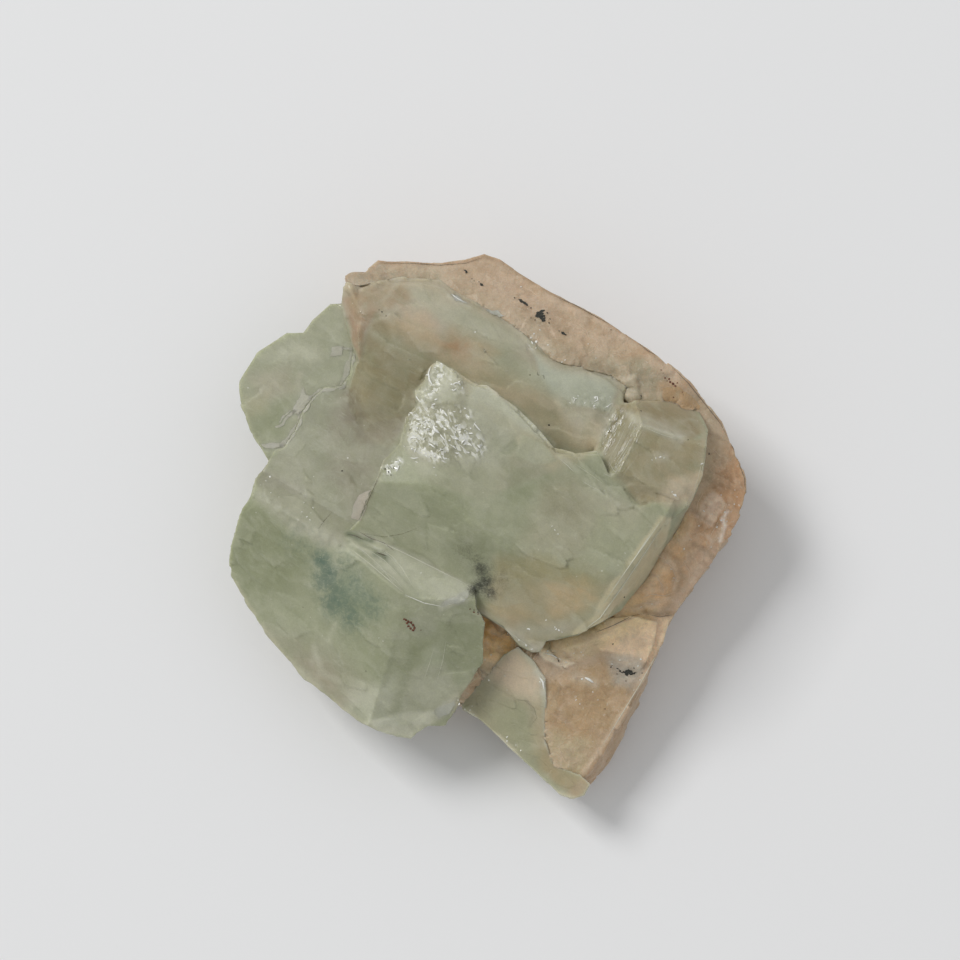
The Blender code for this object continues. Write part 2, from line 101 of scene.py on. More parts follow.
# ---- surface fineness ----
OCTREE_DEPTH = 8
CUTS = 1   # times that the faces towards the eye are halved
CRYSTAL_FILL = 0.50             # share of the octree that the crystals fill: less is coarser
MATRIX_FILL = 0.53
CORNER_FILL = 0.36
EDGE_ON = 0.12                  # faces that turn less than this to the eye aren't halved
CHIP_STRAY = 0.45               # how far a chip's middle strays in its cell, as a share of it
CHIP_STEP = 0.3                 # how much chips differ in height, likewise
MARKED_FROM, MARKED_TO = 0.05, 0.3    # turn to the eye over which outlined marks come in
MARK_SWAY = 0.35                # how far an outlined mark's border wanders
SWAY_SIZE = 2.2                 # size of the waves in which it wanders
HAIR_STEP = 3.0                 # spacing of a hairline's points, in pixels
PLATE_GRID = 1.6                # spacing of a thin plate's points, in pixels
PLATE_HINGE = 0.25              # share of a plate's rise at its left end
PLATE_UNDER = 0.15              # how deep a plate's underside lies
PLATE_JUMP = 0.9                # a plate is cut where the ground under it falls away by more


# ---- arrays ----
def soft(value, low, high):
    """0 below low, 1 above high, and a smooth step between them."""
    share = np.clip((value - low) / (high - low), 0.0, 1.0)
    return share * share * (3.0 - 2.0 * share)


def scatter(cells, seed):
    """A repeatable random number from -1 to 1 for each lattice cell."""
    x, y, z = (cells[:, axis].astype(np.int64).astype(np.uint64) for axis in range(3))
    mixed = x * np.uint64(374761393) + y * np.uint64(668265263) + z * np.uint64(2246822519)
    mixed = (mixed + np.uint64(seed * 3266489917)) & np.uint64(0xFFFFFFFF)
    mixed = ((mixed ^ (mixed >> np.uint64(13))) * np.uint64(1274126177)) & np.uint64(0xFFFFFFFF)
    mixed = ((mixed ^ (mixed >> np.uint64(16))) * np.uint64(2654435761)) & np.uint64(0xFFFFFFFF)
    mixed ^= mixed >> np.uint64(15)
    return mixed.astype(np.float64) / 2147483647.5 - 1.0


def cloud(points, size, seed):
    """Smooth noise from -1 to 1, with lumps about size across."""
    place = points / size
    cell = np.floor(place)
    share = place - cell
    share = share * share * (3.0 - 2.0 * share)
    total = np.zeros(len(points))
    for corner in range(8):
        step = np.array([corner & 1, corner >> 1 & 1, corner >> 2 & 1])
        weight = np.prod(np.where(step, share, 1.0 - share), axis=1)
        total += weight * scatter(cell + step, seed)
    return total


def clouds(points, size, octaves, seed):
    """Noise summed over halving sizes."""
    total = np.zeros(len(points))
    for octave in range(octaves):
        total += cloud(points, size / 2 ** octave, seed + octave) / 2 ** octave
    return total


# ---- the camera's rays ----
AIM = Vector(VIEW_AIM)
FORWARD = Vector((0.0, math.sin(VIEW_FROM_VERTICAL), -math.cos(VIEW_FROM_VERTICAL)))
UPWARD = Vector((0.0, math.cos(VIEW_FROM_VERTICAL), math.sin(VIEW_FROM_VERTICAL)))
EYE = AIM - FORWARD * VIEW_DISTANCE
PIXEL = VIEW_SENSOR / VIEW_LENS / VIEW_PIXELS  # a pixel's size at a distance of 1
PIXEL_MM = PIXEL * VIEW_DISTANCE               # its size at the specimen


def ray_target(things):
    """Some objects as one thing that rays can hit, in millimetres."""
    corners, faces = [], []
    for thing in things:
        start = len(corners)
        corners += [(thing.matrix_world @ vertex.co) / MM for vertex in thing.data.vertices]
        faces += [[start + index for index in face.vertices] for face in thing.data.polygons]
    return BVHTree.FromPolygons(corners, faces)


SOLIDS = ray_target(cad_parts.values())


def ray(across, down):
    """The direction of the ray through a pixel."""
    right = (across - VIEW_PIXELS / 2) * PIXEL
    rise = (VIEW_PIXELS / 2 - down) * PIXEL
    return (FORWARD + Vector((right, 0.0, 0.0)) + UPWARD * rise).normalized()


def spot(across, down, solids=SOLIDS):
    """The place on the solids that shows at a pixel, or None."""
    return solids.ray_cast(EYE, ray(across, down))[0]


def part_way(start, end, share):
    """The pixel that lies a share of the way from one to another."""
    return start[0] + (end[0] - start[0]) * share, start[1] + (end[1] - start[1]) * share


def pixels_of(points):
    """The pixel at which each point shows."""
    offset = points - np.array(EYE)
    depth = offset @ np.array(FORWARD)
    across = VIEW_PIXELS / 2 + offset[:, 0] / depth / PIXEL
    down = VIEW_PIXELS / 2 - (offset @ np.array(UPWARD)) / depth / PIXEL
    return np.stack([across, down], axis=1)


def add_object(name, data):
    """A new object in the scene."""
    added = bpy.data.objects.new(name, data)
    bpy.context.scene.collection.objects.link(added)
    return added


# ---- a piece's surface ----
class Surface:
    """The points of one fine mesh, what they show, and what is drawn on them."""

    def __init__(self, mesh):
        self.mesh = mesh
        self.count = len(mesh.vertices)
        self.colour = np.ones((self.count, 3))
        self.edges = np.empty(len(mesh.edges) * 2, dtype=np.int64)
        mesh.edges.foreach_get("vertices", self.edges)
        self.touching = np.bincount(self.edges, minlength=self.count) + 1
        self.renew()

    def renew(self):
        """Takes the mesh as it is now for the shape that is drawn on."""
        self.points = self.read("co") / MM
        self.normals = self.read("normal")
        self.rest = self.points.copy()
        self.seen = pixels_of(self.points)
        to_eye = np.array(EYE) - self.points
        to_eye /= np.linalg.norm(to_eye, axis=1)[:, None]
        self.facing = np.sum(self.normals * to_eye, axis=1)

    def spread(self, values, rounds):
        """Averages values over neighbouring points, a number of times."""
        first, second = self.edges[::2], self.edges[1::2]
        for _ in range(rounds):
            near = np.bincount(first, values[second], self.count)
            near += np.bincount(second, values[first], self.count)
            values = (values + near) / self.touching
        return values

    def melt(self, masks):
        """Softens the shape where masks say so, each by its own number of rounds."""
        for mask, rounds in masks:
            softened = np.stack([self.spread(self.points[:, axis], rounds) for axis in range(3)], axis=1)
            self.points += (softened - self.points) * np.clip(mask, 0.0, 1.0)[:, None]
        self.mesh.vertices.foreach_set("co", (self.points * MM).astype(np.float32).ravel())
        self.mesh.update()
        self.renew()

    def convexity(self):
        """How sharply the surface turns away at each point, in radians for each millimetre."""
        first, second = self.edges[::2], self.edges[1::2]
        step = self.rest[second] - self.rest[first]
        turn = self.normals[second] - self.normals[first]
        bend = np.sum(turn * step, axis=1) / np.maximum(np.sum(step * step, axis=1), 1e-6)
        total = np.bincount(first, bend, self.count) + np.bincount(second, bend, self.count)
        return total / (self.touching - 1)

    def read(self, what):
        """A vector of the mesh at each point."""
        values = np.empty(self.count * 3, dtype=np.float32)
        self.mesh.vertices.foreach_get(what, values)
        return values.reshape(-1, 3).astype(np.float64)

    def trail(self, path, reach):
        """1 along a path in the view, fading to 0 at a reach from it."""
        places = []
        for start, end in zip(path, path[1:]):
            count = max(1, round(math.dist(start, end) * PIXEL_MM / (reach / 2)))
            for step in range(count + 1):
                hit = spot(*part_way(start, end, step / count))
                if hit is not None:
                    places.append(hit)
        nearest = np.full(self.count, 1e9)
        for place in places:
            nearest = np.minimum(nearest, np.linalg.norm(self.rest - np.array(place), axis=1))
        return 1.0 - soft(nearest, 0.0, reach)

    def patch(self, outline, softness, warp=0.0):
        """1 inside an outline in the view, fading to 0 over a softness, on what faces the eye."""
        seen = self.seen
        if warp:
            sway = np.stack([cloud(self.rest, SWAY_SIZE, seed) for seed in (41, 42)], axis=1)
            seen = seen + sway * warp / PIXEL_MM
        inside = np.zeros(self.count, dtype=bool)
        nearest = np.full(self.count, 1e9)
        for start, end in zip(outline, outline[1:] + outline[:1]):
            side = np.array(end, float) - np.array(start, float)
            offset = seen - np.array(start, float)
            share = np.clip(offset @ side / (side @ side), 0.0, 1.0)
            nearest = np.minimum(nearest, np.linalg.norm(offset - share[:, None] * side, axis=1))
            if start[1] != end[1]:
                crosses = (start[1] > seen[:, 1]) != (end[1] > seen[:, 1])
                meets = start[0] + (seen[:, 1] - start[1]) / (end[1] - start[1]) * (end[0] - start[0])
                inside ^= crosses & (seen[:, 0] < meets)
        distance = np.where(inside, nearest, -nearest) * PIXEL_MM
        covered = soft(distance, -softness / 2, softness / 2)
        return covered * soft(self.facing, MARKED_FROM, MARKED_TO)

    def paint(self, tone, mask):
        """Lays a tone over the colour, as strongly as the mask says."""
        share = np.clip(mask, 0.0, 1.0)[:, None]
        self.colour = self.colour * (1.0 - share) + np.array(tone) * share

    def lift(self, amount):
        """Moves the points out along their normals by an amount."""
        self.points += self.normals * amount[:, None]

    def keep(self, name, values):
        """Stores a number for each point, for the finish to read."""
        layer = self.mesh.attributes.new(name, "FLOAT", "POINT")
        layer.data.foreach_set("value", values.astype(np.float32))

    def write(self):
        """Writes the points and the colour back to the mesh, inside the CAD box."""
        low, high = np.array(CAD_BOX) / MM
        inside = np.clip(self.points, low, high) * MM
        self.mesh.vertices.foreach_set("co", inside.astype(np.float32).ravel())
        layer = self.mesh.attributes.new("tint", "FLOAT_COLOR", "POINT")
        rgba = np.ones((self.count, 4), dtype=np.float32)
        rgba[:, :3] = self.colour
        layer.data.foreach_set("color", rgba.ravel())
        self.mesh.update()


def divide_towards_eye(mesh):
    """Halves the faces that the eye sees, and leaves the rest coarse."""
    bm = bmesh.new()
    bm.from_mesh(mesh)
    bm.normal_update()
    eye = EYE * MM
    for _ in range(CUTS):
        edges = set()
        for face in bm.faces:
            if face.normal.dot((eye - face.calc_center_median()).normalized()) > EDGE_ON:
                edges.update(face.edges)
        bmesh.ops.subdivide_edges(bm, edges=list(edges), cuts=1, use_grid_fill=True)
    bm.to_mesh(mesh)
    bm.free()


def fine_copy(node, fill, melts):
    """A finely divided copy of a CAD solid that keeps its edges crisp, but where it melts."""
    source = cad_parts[node]
    bm = bmesh.new()
    bm.from_mesh(source.data)
    bm.transform(source.matrix_world)
    bmesh.ops.remove_doubles(bm, verts=bm.verts[:], dist=1e-6)
    mesh = bpy.data.meshes.new(node + "_surface")
    bm.to_mesh(mesh)
    bm.free()
    piece = add_object(node + "_surface", mesh)
    modifier = piece.modifiers.new("fine", "REMESH")
    modifier.mode = "SHARP"
    modifier.octree_depth = OCTREE_DEPTH
    modifier.scale = fill
    modifier.use_remove_disconnected = False
    graph = bpy.context.evaluated_depsgraph_get()
    piece.data = bpy.data.meshes.new_from_object(piece.evaluated_get(graph))
    piece.modifiers.clear()
    coarse = Surface(piece.data)
    coarse.melt([(masked(coarse, mark), rounds) for rounds, mark in melts])
    divide_towards_eye(piece.data)
    piece.data.name = node + "_surface"
    piece.data.materials.clear()
    for polygon in piece.data.polygons:
        polygon.use_smooth = True
    return piece


# ---- nodes ----
class Value:
    """One output of a node, which takes part in Python sums as a number does."""

    def __init__(self, tree, socket):
        self.tree = tree
        self.socket = socket

    def math(self, operation, other, swapped=False):
        """A node that works out an operation on this output and another value."""
        first, second = (other, self) if swapped else (self, other)
        return self.tree.node("ShaderNodeMath", {"operation": operation}, {0: first, 1: second})

    def __add__(self, other):
        return self.math("ADD", other)

    def __sub__(self, other):
        return self.math("SUBTRACT", other)

    def __rsub__(self, other):
        return self.math("SUBTRACT", other, swapped=True)

    def __mul__(self, other):
        return self.math("MULTIPLY", other)

    def __pow__(self, other):
        return self.math("POWER", other)

    __radd__ = __add__
    __rmul__ = __mul__


class Tree:
    """A node tree that is written as calls and sums."""

    def __init__(self, nodes):
        self.nodes = nodes.nodes
        self.links = nodes.links
        self.nodes.clear()

    def node(self, kind, settings=None, inputs=None, out=0):
        """Adds a node: its settings first, then its sockets' values and links."""
        made = self.nodes.new(kind)
        for name, value in (settings or {}).items():
            setattr(made, name, value)
        for key, value in (inputs or {}).items():
            self.feed(made.inputs[key], value)
        return Value(self, made.outputs[out]) if len(made.outputs) else made

    def feed(self, socket, value):
        """Links a socket to another node's output, or gives it a plain value."""
        if isinstance(value, Value):
            self.links.new(value.socket, socket)
        elif isinstance(value, tuple) and len(value) == 3 and socket.type == "RGBA":
            socket.default_value = (*value, 1.0)
        else:
            socket.default_value = value

    def vector(self, operation, first, second, out="Vector"):
        """An operation on two vectors."""
        return self.node("ShaderNodeVectorMath", {"operation": operation}, {0: first, 1: second}, out)

    def scaled(self, vector, factor):
        """A vector, or a colour, times a number."""
        return self.node("ShaderNodeVectorMath", {"operation": "SCALE"}, {0: vector, "Scale": factor})


class Finish(Tree):
    """A material's tree, with the patterns that the minerals share."""

    def __init__(self, name):
        self.material = bpy.data.materials.new(name)
        self.material.use_nodes = True
        super().__init__(self.material.node_tree)
        self.place = self.node("ShaderNodeTexCoord", out="Object")

    def noise(self, size, detail=3.0, distortion=0.0, roughness=0.55):
        """Noise from 0 to 1 with lumps of a size in millimetres."""
        return self.node("ShaderNodeTexNoise", {}, {
            "Vector": self.place, "Scale": 1.0 / (size * MM), "Detail": detail,
            "Distortion": distortion, "Roughness": roughness})

    def turned_grid(self, stretch, turn):
        """The piece's own places, drawn out along a direction that is turned off X."""
        return self.node("ShaderNodeMapping", {"vector_type": "TEXTURE"}, {
            "Vector": self.place, "Rotation": (0.0, 0.0, turn), "Scale": (stretch, 1.0, 1.0)})

    def streaks(self, size, length, detail=3.0, turn=CLEAVAGE_TURN):
        """Noise from 0 to 1 that is drawn out along the cleavage, or another direction."""
        return self.node("ShaderNodeTexNoise", {}, {
            "Vector": self.turned_grid(length / size, turn), "Scale": 1.0 / (size * MM),
            "Detail": detail, "Distortion": 0.25})

    def grains(self, size):
        """The distance to the nearest of many points that lie a size in millimetres apart."""
        return self.node("ShaderNodeTexVoronoi", {}, {
            "Vector": self.place, "Scale": 1.0 / (size * MM)}, out="Distance")

    def facets(self, size, stretch, turn):
        """Flat facets about a size across: a height, each tilted its own way, and a chance for each."""
        grid = self.turned_grid(stretch, turn)
        fineness = 1.0 / (size * MM)
        chance = self.node("ShaderNodeTexVoronoi", {}, {"Vector": grid, "Scale": fineness}, out="Color")
        middle = Value(self, chance.socket.node.outputs["Position"])
        offset = self.vector("SUBTRACT", grid, middle)
        lean = self.vector("SUBTRACT", chance, (0.5, 0.5, 0.5))
        return self.vector("DOT_PRODUCT", offset, lean, out="Value") * fineness, chance

    def drawn(self, name):
        """A number that was stored at each point of the piece."""
        return self.node("ShaderNodeAttribute", {"attribute_name": name}, out="Fac")

    def tint(self):
        """The colour that was painted at each point of the piece."""
        return self.node("ShaderNodeAttribute", {"attribute_name": "tint"}, out="Color")

    def between(self, value, low, high):
        """0 below low, 1 above high, with a smooth step between."""
        return self.node("ShaderNodeMapRange", {"interpolation_type": "SMOOTHSTEP"}, {
            "Value": value, "From Min": low, "From Max": high})

    def mixed(self, share, first, second):
        """A first colour with a share of a second one."""
        return self.node("ShaderNodeMix", {"data_type": "RGBA"}, {0: share, 6: first, 7: second}, out=2)

    def laid(self, colour, tone, strength, pattern, low, high):
        """Lays a tone over a colour, as a pattern rises from low to high."""
        return self.mixed(strength * self.between(pattern, low, high), colour, tone)

    def bumped(self, height, depth, strength=1.0, under=None):
        """A normal that follows a height, whose full depth is in millimetres."""
        inputs = {"Height": height, "Distance": depth * MM, "Strength": strength}
        if under is not None:
            inputs["Normal"] = under
        return self.node("ShaderNodeBump", {}, inputs)

    def shaded(self, **sockets):
        """Ends the tree in a Principled shader, and gives the material back."""
        inputs = {name.replace("_", " "): value for name, value in sockets.items()}
        shader = self.node("ShaderNodeBsdfPrincipled", {}, inputs)
        self.node("ShaderNodeOutputMaterial", {}, {"Surface": shader})
        return self.material


# ---- tones, as the share of light that each mineral gives back ----
JADE = (0.385, 0.400, 0.265)        # cloudy green crystal
# DEEP_GREEN also serves as painted shade: on chips and in the marks named shade
DEEP_GREEN = (0.285, 0.305, 0.178)  # the same where it is thick and clear
DARK_GREEN = (0.205, 0.220, 0.120)  # its darkest depths
SAGE = (0.455, 0.462, 0.325)        # pale green
# PALE_SAGE also serves as painted light: on chips and on the lozenge's top
PALE_SAGE = (0.560, 0.565, 0.435)   # the palest of it
# MILK also serves as a painted highlight on edges and ridges
MILK = (0.635, 0.630, 0.500)        # white veils and frosted faces
PALE_VEIN = (0.720, 0.710, 0.600)   # the brightest veins and flecks inside
CREAM = (0.640, 0.585, 0.470)       # ledges and broken edges
ROSE_GREY = (0.440, 0.400, 0.295)   # green crystal with a pink blush
BLUSH = (0.520, 0.455, 0.340)       # a stronger blush
# OLIVE also serves as painted shade in creases
OLIVE = (0.360, 0.315, 0.180)       # green over brown rock
DUSK = (0.330, 0.295, 0.190)        # the foot of a crystal over brown rock
HONEY = (0.510, 0.400, 0.230)       # yellow brown glow of rock through crystal
AMBER = (0.640, 0.480, 0.270)       # the strongest of that glow
BLUE_GREY = (0.500, 0.520, 0.410)   # pale cool planes of the upper crystal
PEACH = (0.510, 0.385, 0.255)       # the matrix
# PALE_PEACH also serves as painted light: on chips, lips, folds and edges
PALE_PEACH = (0.620, 0.480, 0.345)  # its thin plates
BUFF = (0.520, 0.435, 0.300)        # the matrix where it is greyish
APRICOT = (0.520, 0.320, 0.165)     # its orange parts
# RUST_PEACH also serves as painted shade: in creases, on chips and in the step's shade
RUST_PEACH = (0.440, 0.285, 0.160)  # its darker, rougher parts
BROWN = (0.320, 0.205, 0.110)       # its creases and edges
COPPER = (0.420, 0.200, 0.080)      # stains
BLUE_GREEN = (0.085, 0.155, 0.115)  # cloud inside the lower cube
SOOT = (0.020, 0.021, 0.017)        # black inclusions
SOOT_PALE = (0.045, 0.042, 0.032)   # their paler parts
CRUST_PALE = (0.050, 0.048, 0.036)  # the paler parts of sooty crusts
GRIME = (0.180, 0.150, 0.110)       # dark broken edges
CRACK = (0.12, 0.11, 0.08)          # the darkest cracks
RUST = (0.090, 0.026, 0.014)        # red brown grains
RUST_WARM = (0.190, 0.070, 0.035)   # their lighter parts
CONTACT = (0.430, 0.365, 0.250)     # the matrix beside the crystals, at the back
# the tones from here to FLASH_DIM are painted highlights, some only in part
GLEAM = (0.74, 0.58, 0.40)          # bright points in rough rock
ROCK_EDGE = (0.72, 0.58, 0.40)      # bright edges of rock
CRYSTAL_EDGE = (0.62, 0.62, 0.53)   # bright edges of crystal
RIB_PALE = (0.72, 0.68, 0.58)       # the ribs of the right step
SPARK = (0.84, 0.84, 0.76)          # bright facets of the frosted face
FLASH = (0.86, 0.86, 0.81)          # small faces that throw the light back
FLASH_DIM = (0.76, 0.76, 0.70)      # the same, turned a little away

# a patch inside an outline, and a line along a path: both may rise or sink
Wash = namedtuple("Wash", "tone strength softness outline rise", defaults=(0.0,))
Stroke = namedtuple("Stroke", "tone strength reach path rise", defaults=(0.0,))
# a thin crisp plate: its tone, how far it stands up, how ragged its border is, and its outline
Plate = namedtuple("Plate", "tone rise ragged outline")

